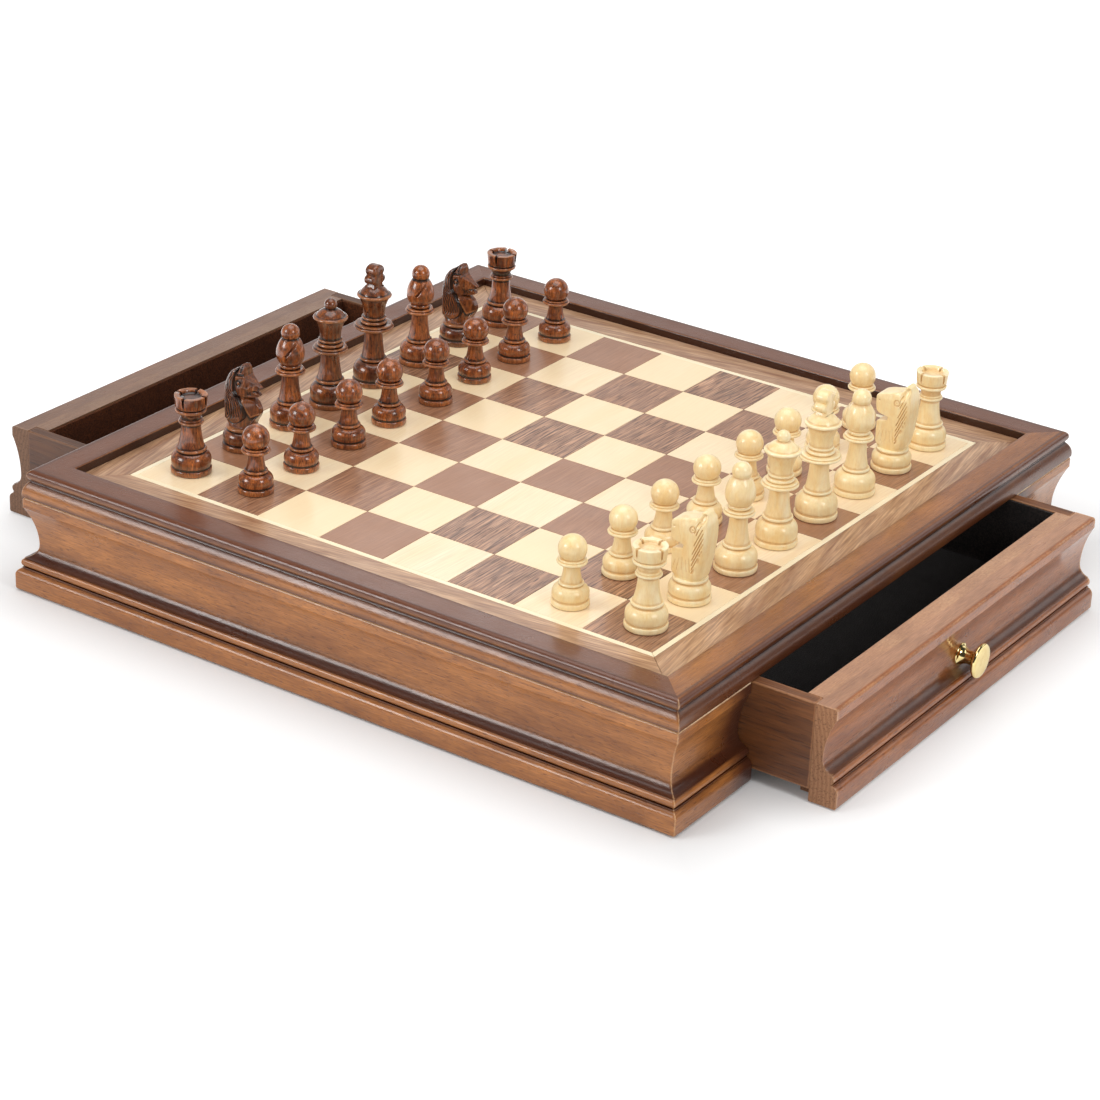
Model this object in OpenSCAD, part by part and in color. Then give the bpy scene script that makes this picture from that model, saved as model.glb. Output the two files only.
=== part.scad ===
// Square box with an inlaid chess board on top, a felt-lined drawer at each end and a set of chessmen.
// +X is the way the right drawer slides out, -X the left one's, +Z is up.
// The origin is at the centre of the box's underside.

/* [Board] */
// Side of one board square
square_w = 37; // [34:0.5:39]
// Width of the pale inlay line round the squares
line_w = 3; // [2:0.5:5]
// Width of the veneer border outside the inlay line
border_w = 18; // [14:1:24]
// Thickness of the squares, lines and border veneers
veneer_t = 1; // [0.6:0.1:1.6]
// Open joint between two neighbouring veneers
veneer_joint = 0.2; // [0.1:0.05:0.4]
// Thickness of the core panel under the veneers
core_t = 5; // [4:0.5:6]
// Height of the frame's lip above the board
lip_h = 4.4; // [3:0.2:5]

/* [Moulding] */
// Thickness of the wall at its rounded foot
foot_w = 21.7; // [20.5:0.1:24]
// Height of the foot
foot_h = 11.4; // [9:0.1:14]
// Radius of the foot's lower edge
foot_low_r = 1.5; // [0.5:0.1:2.5]
// Radius of the foot's upper edge
foot_high_r = 3.5; // [2:0.1:5]
// Thickness of the wall at the small bead over the foot
bead_w = 19.6; // [19:0.1:20.4]
// Height of the small bead
bead_h = 4.7; // [3.5:0.1:6]
// Thickness of the wall at the deepest line of the hollow
hollow_w = 13.2; // [12:0.1:15]
// Height of the hollow's tight lower curve, which is also its radius
hollow_low_h = 6.4; // [5:0.1:7]
// Height of the hollow's long upper curve
hollow_high_h = 20.5; // [16:0.5:24]
// Thickness of the wall at the shoulder over the hollow
shoulder_w = 18.4; // [17:0.1:20]
// Height of the shoulder
shoulder_h = 5.5; // [4:0.1:7]
// Radius of the shoulder's upper edge
shoulder_r = 1.5; // [0.5:0.1:2]
// Height of the narrow quirks between the members
quirk_h = 0.5; // [0.3:0.1:0.8]
// Thickness of the wall at the lower quirks
quirk_low_w = 17.4; // [16:0.1:18]
// Thickness of the wall at the quirk under the top bead
quirk_high_w = 15.2; // [14:0.1:16]
// Thickness of the wall at the ovolo
ovolo_w = 18.7; // [17.5:0.1:20]
// Height of the ovolo
ovolo_h = 7.5; // [6:0.1:9]
// Radius of the ovolo
ovolo_r = 9; // [8.5:0.1:11]
// Height of the ovolo's fullest line over its lower edge
ovolo_axis_h = 1.1; // [0.5:0.1:2]
// Thickness of the wall at the top bead
top_bead_w = 16.9; // [15.5:0.1:18]
// Height of the top bead
top_bead_h = 5.7; // [5:0.1:7]
// Radius of the eased inner edge of the lip
lip_r = 1; // [0.5:0.1:1.5]

/* [Carcass] */
// Thickness of the bottom panel
panel_t = 6; // [4:0.5:8]
// Depth of the grooves and rebates that hold the panels
groove_d = 4; // [2.5:0.5:6]
// Slack of a panel in its groove
panel_fit = 0.1; // [0.05:0.05:0.3]
// Thickness of the partition between the drawers
partition_t = 8; // [6:1:14]
// Width of a drawer guide strip
guide_w = 7; // [5:0.5:12]
// Height of a drawer guide strip
guide_h = 12; // [8:1:20]

/* [Drawers] */
// Width of a drawer over its sides
drawer_w = 254; // [230:1:262]
// Gap round a drawer front in its opening
front_gap = 0.5; // [0.3:0.1:0.8]
// Running gap between a drawer and what guides it
run_gap = 0.3; // [0.2:0.1:0.6]
// Thickness of a drawer's sides
side_t = 6.4; // [5:0.2:9]
// Depth of the rabbet that takes a side's end
rabbet_d = 7.6; // [5:0.2:9]
// Thickness of a drawer's back
back_t = 6.4; // [5:0.2:9]
// Thickness of a drawer's bottom
floor_t = 3; // [2:0.5:4]
// Height of a drawer's bottom above its sides' lower edges
floor_up = 2; // [1.5:0.5:4]
// Depth of the grooves that hold a drawer's bottom
floor_groove_d = 3; // [2:0.5:4]
// Thickness of the felt lining
felt_t = 1; // [0.6:0.1:2]
// Distance from a drawer's upper edge down to the felt's edge
felt_down = 1; // [0.5:0.5:4]
// How far the right drawer stands open
right_open = 43; // [20:0.5:120]
// How far the left drawer stands open
left_open = 63; // [20:0.5:120]

/* [Knobs] */
// Height of a knob's centre above the table
knob_z = 23.5; // [21:0.5:30]
// Thickness of the drawer front at the flat seat bored for the knob
knob_seat_w = 12.6; // [11:0.1:13]
// Length of a knob from its seat to its face
knob_l = 12.6; // [11:0.1:16]
// Radius of a knob's foot
knob_foot_r = 5.8; // [4.6:0.1:6.5]
// Thickness of a knob's foot
knob_foot_t = 1.2; // [0.8:0.1:2]
// Radius of a knob's neck
knob_neck_r = 3.3; // [2.8:0.1:3.8]
// Radius of a knob's face
knob_face_r = 8.5; // [7:0.1:12]
// Thickness of a knob's rim
knob_rim_t = 2; // [1.6:0.1:3]
// Height of the cone behind a knob's rim
knob_cone_h = 2.2; // [1.5:0.1:3]
// Depth of the threaded hole in a knob
knob_hole_d = 8; // [6:0.5:9]
// Radius of the knob screw's shank
screw_r = 2; // [1.5:0.1:2.2]
// Radius of the knob screw's head
screw_head_r = 4; // [3:0.1:5]
// Height of the knob screw's head
screw_head_h = 2.4; // [1.5:0.1:3]
// Depth of the recess that takes the screw's head
recess_d = 3; // [3:0.1:5]
// Clearance round the screw in the drawer front
screw_gap = 0.2; // [0.1:0.1:0.5]
// Length of the screw's shank inside the knob
screw_grip = 7; // [4:0.5:7.5]

/* [Chessmen] */
// Height of every man's foot
man_foot_h = 3; // [2:0.1:4]
// Radius of the foot's eased edges
man_edge_r = 0.8; // [0.4:0.1:1]
// Depth of the groove over the foot
man_groove_d = 0.7; // [0.4:0.1:1.2]
// Height of the groove over the foot
man_groove_h = 0.4; // [0.2:0.1:0.8]
// Height of the ring under the stem
man_ring_h = 1.6; // [1:0.1:2.4]
// Height of the collar over the stem
man_collar_h = 2.6; // [1.6:0.1:3.4]
// Air between a man and his square
man_gap = 0.1; // [0.05:0.05:0.3]

/* [Pawns] */
// Radius of the foot
pawn_foot_r = 8.9; // [8:0.1:11]
// Height of the rounded body
pawn_body_h = 7; // [5:0.1:9]
// Radius of the ring
pawn_ring_r = 5.9; // [5.4:0.1:6.6]
// Radius of the stem where it is thinnest
pawn_stem_r = 3.7; // [3:0.1:4.4]
// Height of the stem
pawn_stem_h = 8.9; // [6:0.1:12]
// Radius of the collar
pawn_collar_r = 7.1; // [6:0.1:8]
// Radius of the ball
pawn_ball_r = 6.7; // [5.5:0.1:8]
// How far the ball's centre stands over the collar
pawn_ball_up = 4.5; // [3.5:0.1:5]

/* [Rooks] */
// Radius of the foot
rook_foot_r = 10.1; // [9:0.1:12]
// Height of the rounded body
rook_body_h = 8.5; // [6:0.1:10]
// Radius of the ring
rook_ring_r = 7.6; // [6.4:0.1:8.2]
// Radius of the stem where it is thinnest
rook_stem_r = 4.8; // [4:0.1:5.6]
// Height of the stem
rook_stem_h = 12.4; // [9:0.1:17]
// Radius of the collar
rook_collar_r = 6.2; // [5.8:0.1:6.8]
// Radius of the tower
rook_tower_r = 8.1; // [7:0.1:9]
// Height of the tower
rook_tower_h = 6.4; // [5:0.1:9]
// Height of the flare from the collar out to the bead under the tower
rook_flare_h = 3.5; // [2.5:0.1:5]
// Height of the bead under the tower
rook_bead_h = 1.9; // [1.2:0.1:2.4]
// Thickness of the tower's wall round its top
rook_wall_t = 2.3; // [1.6:0.1:3]
// Depth of the hollow in the tower's top
rook_cup_d = 1.6; // [1:0.1:2.4]
// Width of a slot in the battlement
rook_slot_w = 1.3; // [0.8:0.1:2]
// Depth of a slot in the battlement
rook_slot_d = 3.6; // [2.6:0.1:4.6]

/* [Knights] */
// Radius of the foot
knight_foot_r = 10.2; // [9:0.1:12]
// Height of the rounded body
knight_body_h = 7.2; // [5:0.1:9]
// Radius of the ring
knight_ring_r = 8.3; // [7.6:0.1:8.8]
// Height of the horse's head over the ring
knight_head_h = 32.4; // [26:0.2:38]
// Thickness of the horse's neck
knight_neck_t = 12.4; // [11:0.2:14]
// Radius of the horse's rounded flanks
knight_flank_r = 14; // [12:0.5:20]
// Thickness of the horse's head at the ears
knight_ears_t = 6; // [4:0.2:8]

/* [Bishops] */
// Radius of the foot
bishop_foot_r = 10.4; // [9:0.1:12]
// Height of the rounded body
bishop_body_h = 9; // [7:0.1:11]
// Radius of the ring
bishop_ring_r = 6.8; // [6:0.1:7.6]
// Radius of the stem where it is thinnest
bishop_stem_r = 4.2; // [3.4:0.1:5]
// Height of the stem
bishop_stem_h = 14.6; // [11:0.1:18]
// Radius of the collar
bishop_collar_r = 7.6; // [6.8:0.1:8.6]
// Radius of the throat over the collar
bishop_throat_r = 5.4; // [4.8:0.1:6]
// Height of the throat over the collar
bishop_throat_h = 2.6; // [1.4:0.1:3.2]
// Radius of the mitre
bishop_mitre_r = 7.2; // [6.4:0.1:8]
// Height of the mitre's upper part
bishop_mitre_h = 8.8; // [6:0.1:11]
// Radius of the mitre under its ball
bishop_tip_r = 4; // [3.4:0.1:4.4]
// Radius of the ball on the mitre
bishop_ball_r = 4.7; // [4.5:0.1:5.4]
// Width of the slit in the mitre
bishop_slit_w = 0.9; // [0.6:0.1:1.4]
// Depth of the slit in the mitre
bishop_slit_d = 2; // [1:0.1:2.4]
// Length of the slit in the mitre
bishop_slit_l = 9; // [7:0.5:11]
// Slope of the slit in the mitre
bishop_slit_slope = 50; // [30:1:60]

/* [Queens] */
// Radius of the foot
queen_foot_r = 10.4; // [9:0.1:12]
// Height of the rounded body
queen_body_h = 10; // [8:0.1:12]
// Radius of the ring
queen_ring_r = 7.4; // [6.6:0.1:8]
// Radius of the stem where it is thinnest
queen_stem_r = 4.6; // [4:0.1:5.4]
// Height of the stem
queen_stem_h = 15; // [11:0.1:19]
// Radius of the collar
queen_collar_r = 9; // [8:0.1:10]
// Radius of the bead over the collar
queen_bead_r = 6.8; // [6.2:0.1:7.6]
// Radius of the cup where it is thinnest
queen_cup_r = 5.4; // [4.8:0.1:5.9]
// Height of the cup
queen_cup_h = 9.2; // [8:0.1:12]
// Radius of the crown
queen_crown_r = 8.9; // [8:0.1:9.8]
// Height of the crown over its rim
queen_crown_h = 5.2; // [4:0.1:7]
// Radius of the ball on the crown
queen_ball_r = 3.3; // [2.8:0.1:4.6]

/* [Kings] */
// Radius of the foot
king_foot_r = 10.6; // [9:0.1:12]
// Height of the rounded body
king_body_h = 10; // [8:0.1:12]
// Radius of the ring
king_ring_r = 7; // [6.4:0.1:8]
// Radius of the stem where it is thinnest
king_stem_r = 4.6; // [4:0.1:5.4]
// Height of the stem
king_stem_h = 16; // [12:0.1:20]
// Radius of the collar
king_collar_r = 10.3; // [9:0.1:11]
// Radius of the bead over the collar
king_bead_r = 6.9; // [6.4:0.1:7.8]
// Radius of the cup where it is thinnest
king_cup_r = 5.6; // [5:0.1:6]
// Height of the cup
king_cup_h = 9.3; // [8:0.1:12]
// Radius of the crown
king_crown_r = 9; // [8:0.1:9.8]
// Height of the crown over its rim
king_crown_h = 6.5; // [5:0.1:7.5]
// Radius of the cross's upper lobe
cross_top_r = 3.9; // [3.4:0.1:4.8]
// Radius of the cross's side lobes
cross_arm_r = 2.9; // [2.4:0.1:3.2]
// Distance of a side lobe's centre from the middle
cross_arm_out = 3.7; // [3:0.1:4.4]
// Height of the side lobes' centres over the crown
cross_arm_up = 2.7; // [2:0.1:3.6]
// Height of the upper lobe's centre over the side lobes' centres
cross_top_up = 3.4; // [2.8:0.1:4.6]
// Thickness of the cross
cross_t = 6; // [4:0.2:7]

/* [Hidden] */
$fn = 96;

// Extra length of a cutting tool past the face it leaves
over = 1;
// Smallest height that is worth a piece of its own in an outline
least = 0.001;
// Narrow flat left where a hollow meets the member beside it
land = 0.1;
squares = 8;

// Heights of the moulding's members, from the table up
bead_z = foot_h + quirk_h;
hollow_z = bead_z + bead_h;
deepest_z = hollow_z + hollow_low_h;
shoulder_z = deepest_z + hollow_high_h;
split_z = shoulder_z + shoulder_h;
ovolo_z = split_z + quirk_h;
top_quirk_z = ovolo_z + ovolo_h;
top_bead_z = top_quirk_z + quirk_h;
box_h = top_bead_z + top_bead_h;

// The board and the frame round it
field_a = squares * square_w / 2;
line_a = field_a + line_w;
inner_a = line_a + border_w;
outer_a = inner_a + foot_w;
board_z = box_h - lip_h;
core_top_z = board_z - veneer_t;
core_z = core_top_z - core_t;
held_a = inner_a + groove_d;
panel_a = inner_a - front_gap;

// The drawers, as they are when shut
drawer_y = drawer_w / 2;
opening_y = drawer_y + front_gap;
rail_z = split_z + front_gap;
side_y = drawer_y - side_t;
side_z = panel_t + run_gap;
floor_z = side_z + floor_up;
felt_z = floor_z + floor_t;
back_a = partition_t / 2 + run_gap;
back_face_a = back_a + back_t;

// The radius of an arc that leaves a line at a tangent and moves d away from it over a length h
function arc_r(d, h) = (d * d + h * h) / (2 * d);

hollow_r = arc_r(shoulder_w - hollow_w - land, hollow_high_h);

// Where a knob's foot bears on the drawer front
knob_a = inner_a + knob_seat_w;

// ---- Outlines -------------------------------------------------------------------------------------

// A band from the axis or the wall's inner face out to w, from z0 up to z1, with rounded outer corners
module band(w, z0, z1, low_r = 0, high_r = 0) {
    h = z1 - z0;
    translate([0, z0]) {
        if (h - low_r - high_r > least)
            translate([0, low_r])
                square([w, h - low_r - high_r]);
        if (low_r > 0) {
            square([w - low_r, low_r]);
            translate([w - low_r, low_r])
                circle(low_r);
        }
        if (high_r > 0) {
            translate([0, h - high_r])
                square([w - high_r, high_r]);
            translate([w - high_r, h - high_r])
                circle(high_r);
        }
    }
}

// A band whose outer edge is fully round
module bead(w, z0, z1) {
    band(w, z0, z1, (z1 - z0) / 2, (z1 - z0) / 2);
}

// The wall's section: thickness outwards along X, height along Y
module moulding_outline() {
    band(foot_w, 0, foot_h, foot_low_r, foot_high_r);
    band(min(bead_w, foot_w) - quirk_h, foot_h, bead_z);
    bead(bead_w, bead_z, hollow_z);
    difference() {
        band(shoulder_w, hollow_z, split_z, 0, shoulder_r);
        intersection() {
            translate([hollow_w + hollow_r, deepest_z])
                circle(hollow_r);
            translate([hollow_w - over, deepest_z])
                square([hollow_r, hollow_high_h]);
        }
        translate([hollow_w + hollow_low_h, deepest_z])
            circle(hollow_low_h);
    }
    band(quirk_low_w, split_z, ovolo_z);
    intersection() {
        translate([ovolo_w - ovolo_r, ovolo_z + ovolo_axis_h])
            circle(ovolo_r);
        translate([ovolo_w - ovolo_r, ovolo_z])
            square([ovolo_r, ovolo_h]);
    }
    band(ovolo_w - ovolo_r, ovolo_z, top_quirk_z);
    band(quirk_high_w, top_quirk_z, top_bead_z);
    difference() {
        bead(top_bead_w, top_bead_z, box_h);
        translate([0, box_h - lip_r])
            difference() {
                square(2 * lip_r, center = true);
                translate([lip_r, 0])
                    circle(lip_r);
                translate([-lip_r, -2 * lip_r])
                    square([2 * lip_r, 2 * lip_r]);
            }
        translate([-lip_r, box_h - lip_r])
            difference() {
                square([2 * lip_r, lip_r + over]);
                translate([2 * lip_r, 0])
                    circle(lip_r);
            }
    }
}

// ---- The box --------------------------------------------------------------------------------------

// A box-shaped block about the Z axis, from z0 up to z1
module slab(half_x, half_y, z0, z1) {
    translate([-half_x, -half_y, z0])
        cube([2 * half_x, 2 * half_y, z1 - z0]);
}

// One of the four walls, mitred at both ends; turn 0 is the right-hand one
module wall(turn) {
    reach = outer_a + over;
    rotate(turn)
        intersection() {
            translate([inner_a, 0, 0])
                rotate([90, 0, 0])
                    linear_extrude(2 * outer_a, center = true)
                        moulding_outline();
            linear_extrude(box_h + over)
                polygon([[0, 0], [reach, -reach], [reach, reach]]);
        }
}

// The space that the board's core takes in its groove
module core_space() {
    slab(held_a, held_a, core_z, core_top_z);
}

module side_moulding(turn) {
    color("peru")
        difference() {
            wall(turn);
            core_space();
            slab(held_a, held_a, -over, panel_t);
        }
}

module near_side_moulding() {
    side_moulding(-90);
}

module far_side_moulding() {
    side_moulding(90);
}

// The moulding over a drawer's opening
module top_rail(turn) {
    color("peru")
        difference() {
            wall(turn);
            core_space();
            slab(outer_a + over, outer_a + over, -over, rail_z);
        }
}

module right_top_rail() {
    top_rail(0);
}

module left_top_rail() {
    top_rail(180);
}

// The stubs of moulding between a drawer's opening and the mitres
module corner_blocks() {
    color("peru")
        for (turn = [0, 180])
            difference() {
                wall(turn);
                slab(outer_a + over, opening_y, -over, box_h + over);
                slab(outer_a + over, outer_a + over, rail_z, box_h + over);
            }
}

module bottom_panel() {
    color("tan")
        slab(panel_a, held_a - panel_fit, 0, panel_t);
}

module drawer_guides() {
    color("tan")
        for (x = [-1, 1], y = [-1, 1])
            scale([x, y, 1])
                translate([partition_t / 2, drawer_y + run_gap, panel_t])
                    cube([panel_a - partition_t / 2, guide_w, guide_h]);
}

module centre_partition() {
    color("tan")
        slab(partition_t / 2, inner_a, panel_t, core_z);
}

// ---- The board ------------------------------------------------------------------------------------

module board_core() {
    color("tan")
        slab(held_a - panel_fit, held_a - panel_fit, core_z, core_top_z);
}

// Every second square; parity 0 holds the near left corner
module board_squares(parity) {
    for (i = [0:squares - 1], j = [0:squares - 1])
        if ((i + j) % 2 == parity)
            translate([(i - squares / 2) * square_w + veneer_joint / 2,
                       (j - squares / 2) * square_w + veneer_joint / 2,
                       core_top_z])
                cube([square_w - veneer_joint, square_w - veneer_joint, veneer_t]);
}

module light_squares() {
    color("blanchedalmond")
        board_squares(0);
}

module dark_squares() {
    color("rosybrown")
        board_squares(1);
}

// Four mitred strips of veneer, from a0 to a1 out from the board's centre
module veneer_ring(a0, a1) {
    mitre = veneer_joint / 2;
    for (turn = [0:90:270])
        rotate(turn)
            translate([0, 0, core_top_z])
                linear_extrude(veneer_t)
                    polygon([[a0, mitre - a0], [a1, mitre - a1], [a1, a1 - mitre], [a0, a0 - mitre]]);
}

module inlay_lines() {
    color("cornsilk")
        veneer_ring(field_a, line_a - veneer_joint);
}

module border_veneers() {
    color("burlywood")
        veneer_ring(line_a, inner_a);
}

// ---- The drawers, drawn shut at the right-hand end -------------------------------------------------

// The space that a drawer's bottom takes in its grooves; slack is what the bottom itself is smaller by
module floor_space(slack = 0) {
    x0 = back_face_a - floor_groove_d + slack;
    x1 = inner_a + floor_groove_d - slack;
    y = side_y + floor_groove_d - slack;
    translate([x0, -y, floor_z])
        cube([x1 - x0, 2 * y, floor_t]);
}

module drawer_front() {
    color("peru")
        difference() {
            intersection() {
                wall(0);
                slab(outer_a, drawer_y, front_gap, split_z);
            }
            for (y = [-1, 1])
                scale([1, y, 1])
                    translate([inner_a - over, side_y, 0])
                        cube([rabbet_d + over, side_t + over, box_h]);
            floor_space();
            translate([inner_a - over, 0, knob_z])
                rotate([0, 90, 0]) {
                    cylinder(foot_w, r = screw_r + screw_gap);
                    cylinder(recess_d + over, r = screw_head_r + screw_gap);
                    translate([0, 0, knob_seat_w + over])
                        cylinder(foot_w, r = knob_foot_r + screw_gap);
                }
        }
}

module drawer_sides() {
    color("sandybrown")
        difference() {
            for (y = [-1, 1])
                scale([1, y, 1])
                    translate([back_a, side_y, side_z])
                        cube([inner_a + rabbet_d - back_a, side_t, split_z - side_z]);
            floor_space();
        }
}

module drawer_back() {
    color("sandybrown")
        difference() {
            translate([back_a, -side_y, side_z])
                cube([back_t, 2 * side_y, split_z - side_z]);
            floor_space();
        }
}

module drawer_bottom() {
    color("tan")
        floor_space(panel_fit);
}

// Felt glued over the bottom and up the four walls
module drawer_lining() {
    felt_top_z = split_z - felt_down;
    color("black")
        difference() {
            translate([back_face_a, -side_y, felt_z])
                cube([inner_a - back_face_a, 2 * side_y, felt_top_z - felt_z]);
            translate([back_face_a + felt_t, felt_t - side_y, felt_z + felt_t])
                cube([inner_a - back_face_a - 2 * felt_t, 2 * (side_y - felt_t), felt_top_z]);
        }
}

// A turned knob: foot, hollow neck, cone and round-edged face
module knob() {
    cone_z = knob_l - knob_rim_t - knob_cone_h;
    neck_foot_r = knob_foot_r - quirk_h;
    neck_arc_r = arc_r(neck_foot_r - knob_neck_r - land, cone_z - knob_foot_t);
    color("gold")
        translate([knob_a, 0, knob_z])
            rotate([0, 90, 0])
                difference() {
                    rotate_extrude() {
                        band(knob_foot_r, 0, knob_foot_t);
                        difference() {
                            band(neck_foot_r, knob_foot_t, cone_z);
                            translate([knob_neck_r + neck_arc_r, cone_z])
                                circle(neck_arc_r);
                        }
                        polygon([[0, cone_z], [knob_neck_r, cone_z],
                                 [knob_face_r - knob_rim_t / 4, knob_l - knob_rim_t], [0, knob_l - knob_rim_t]]);
                        bead(knob_face_r, knob_l - knob_rim_t, knob_l);
                    }
                    translate([0, 0, -over])
                        cylinder(knob_hole_d + over, r = screw_r);
                }
}

module knob_screw() {
    color("silver")
        translate([inner_a + recess_d, 0, knob_z])
            rotate([0, 90, 0]) {
                cylinder(knob_a + screw_grip - inner_a - recess_d, r = screw_r);
                translate([0, 0, -screw_head_h])
                    cylinder(screw_head_h, r = screw_head_r);
            }
}

module at_right() {
    translate([right_open, 0, 0])
        children();
}

module at_left() {
    mirror([1, 0, 0])
        translate([left_open, 0, 0])
            children();
}

// ---- The chessmen, each drawn standing at the origin -------------------------------------------------

// Height of the top of the collar
function collar_top(body_h, stem_h) = man_foot_h + body_h + man_ring_h + stem_h + man_collar_h;

// The foot and rounded body that every man stands on, with the ring on top
module man_base_outline(foot_r, body_h, ring_r) {
    ring_z = man_foot_h + body_h;
    band(foot_r, 0, man_foot_h, man_edge_r, man_edge_r);
    band(foot_r - man_groove_d, man_foot_h / 2, man_foot_h + body_h / 2);
    band(foot_r - man_groove_d / 2, man_foot_h + man_groove_h, ring_z, man_edge_r, body_h / 2);
    band(ring_r - man_ring_h / 2, man_foot_h, ring_z + man_ring_h);
    bead(ring_r, ring_z, ring_z + man_ring_h);
}

// The base, a hollow stem and a collar
module man_outline(foot_r, body_h, ring_r, stem_r, stem_h, collar_r) {
    stem_z = man_foot_h + body_h + man_ring_h;
    stem_foot_r = ring_r - man_ring_h / 2;
    stem_arc_r = arc_r(stem_foot_r - stem_r - land, stem_h);
    man_base_outline(foot_r, body_h, ring_r);
    difference() {
        band(stem_foot_r, stem_z, stem_z + stem_h);
        translate([stem_r + stem_arc_r, stem_z + stem_h])
            circle(stem_arc_r);
    }
    bead(collar_r, stem_z + stem_h, stem_z + stem_h + man_collar_h);
}

// The right-hand half of a disc, so that an outline stays on its side of the axis
module half_disc(r) {
    intersection() {
        circle(r);
        translate([0, -r])
            square([r, 2 * r]);
    }
}

module pawn() {
    top = collar_top(pawn_body_h, pawn_stem_h);
    rotate_extrude() {
        man_outline(pawn_foot_r, pawn_body_h, pawn_ring_r, pawn_stem_r, pawn_stem_h, pawn_collar_r);
        translate([0, top + pawn_ball_up])
            half_disc(pawn_ball_r);
    }
}

module rook() {
    top = collar_top(rook_body_h, rook_stem_h);
    bead_r = rook_tower_r - man_groove_h;
    flare_r = bead_r - rook_bead_h / 2;
    flare_arc_r = arc_r(flare_r - rook_stem_r - land, rook_flare_h);
    tower_z = top + rook_flare_h + rook_bead_h + man_groove_h;
    tower_top = tower_z + rook_tower_h;
    difference() {
        rotate_extrude() {
            man_outline(rook_foot_r, rook_body_h, rook_ring_r, rook_stem_r, rook_stem_h, rook_collar_r);
            difference() {
                band(flare_r, top, top + rook_flare_h);
                translate([rook_stem_r + flare_arc_r, top])
                    circle(flare_arc_r);
            }
            bead(bead_r, top + rook_flare_h, top + rook_flare_h + rook_bead_h);
            band(flare_r, top + rook_flare_h, tower_z);
            band(rook_tower_r, tower_z, tower_top, man_groove_h, man_groove_h);
        }
        translate([0, 0, tower_top - rook_cup_d])
            cylinder(rook_cup_d + over, r = rook_tower_r - rook_wall_t);
        for (turn = [0, 90])
            rotate(turn)
                translate([-rook_tower_r - over, -rook_slot_w / 2, tower_top - rook_slot_d])
                    cube([2 * (rook_tower_r + over), rook_slot_w, rook_slot_d + over]);
    }
}

// The horse looks along +X. Its outline is laid out on a head one unit high.
module knight() {
    head_z = man_foot_h + knight_body_h + man_ring_h;
    mane = [[-0.22, 0], [-0.27, 0.14], [-0.27, 0.36], [-0.25, 0.6], [-0.21, 0.78], [-0.12, 0.9]];
    ears = [[-0.01, 0.91], [0.02, 1], [0.08, 0.99], [0.1, 0.88]];
    face = [[0.15, 0.78], [0.31, 0.61], [0.325, 0.5], [0.28, 0.43], [0.14, 0.39]];
    chest = [[0.15, 0.34], [0.26, 0.2], [0.255, 0.09], [0.21, 0]];
    rotate_extrude()
        man_base_outline(knight_foot_r, knight_body_h, knight_ring_r);
    intersection() {
        translate([0, 0, head_z])
            rotate([90, 0, 0])
                linear_extrude(knight_neck_t, center = true)
                    scale(knight_head_h)
                        polygon(concat(mane, ears, face, chest));
        translate([0, 0, head_z])
            linear_extrude(knight_head_h)
                intersection_for (y = [-1, 1])
                    translate([0, y * (knight_flank_r - knight_neck_t / 2)])
                        circle(knight_flank_r);
        translate([0, 0, head_z])
            rotate([90, 0, 90])
                linear_extrude(2 * knight_foot_r + knight_head_h, center = true)
                    polygon([[-knight_neck_t / 2, 0], [knight_neck_t / 2, 0],
                             [knight_neck_t / 2, knight_head_h / 3], [knight_ears_t / 2, knight_head_h],
                             [-knight_ears_t / 2, knight_head_h], [-knight_neck_t / 2, knight_head_h / 3]]);
    }
}

module bishop() {
    top = collar_top(bishop_body_h, bishop_stem_h);
    throat_z = top + bishop_throat_h;
    low_arc_h = sqrt(pow(bishop_mitre_r, 2) - pow(bishop_throat_r, 2));
    full_z = throat_z + low_arc_h;
    side_arc_r = arc_r(bishop_mitre_r - bishop_tip_r, bishop_mitre_h);
    tip_z = full_z + bishop_mitre_h;
    ball_up = sqrt(pow(bishop_ball_r, 2) - pow(bishop_tip_r + land, 2));
    difference() {
        rotate_extrude() {
            man_outline(bishop_foot_r, bishop_body_h, bishop_ring_r, bishop_stem_r, bishop_stem_h,
                        bishop_collar_r);
            bead(bishop_throat_r, top, throat_z);
            band(bishop_tip_r, top, tip_z);
            intersection() {
                translate([0, full_z])
                    half_disc(bishop_mitre_r);
                translate([0, throat_z])
                    square([bishop_mitre_r, low_arc_h]);
            }
            intersection() {
                translate([bishop_mitre_r - side_arc_r, full_z])
                    circle(side_arc_r);
                translate([0, full_z])
                    square([bishop_mitre_r, bishop_mitre_h]);
            }
            translate([0, tip_z + ball_up])
                half_disc(bishop_ball_r);
        }
        rotate(-45)
            translate([bishop_mitre_r, 0, full_z + bishop_mitre_h / 2])
                rotate([bishop_slit_slope, 0, 0])
                    cube([2 * bishop_slit_d, bishop_slit_l, bishop_slit_w], center = true);
    }
}

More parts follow.
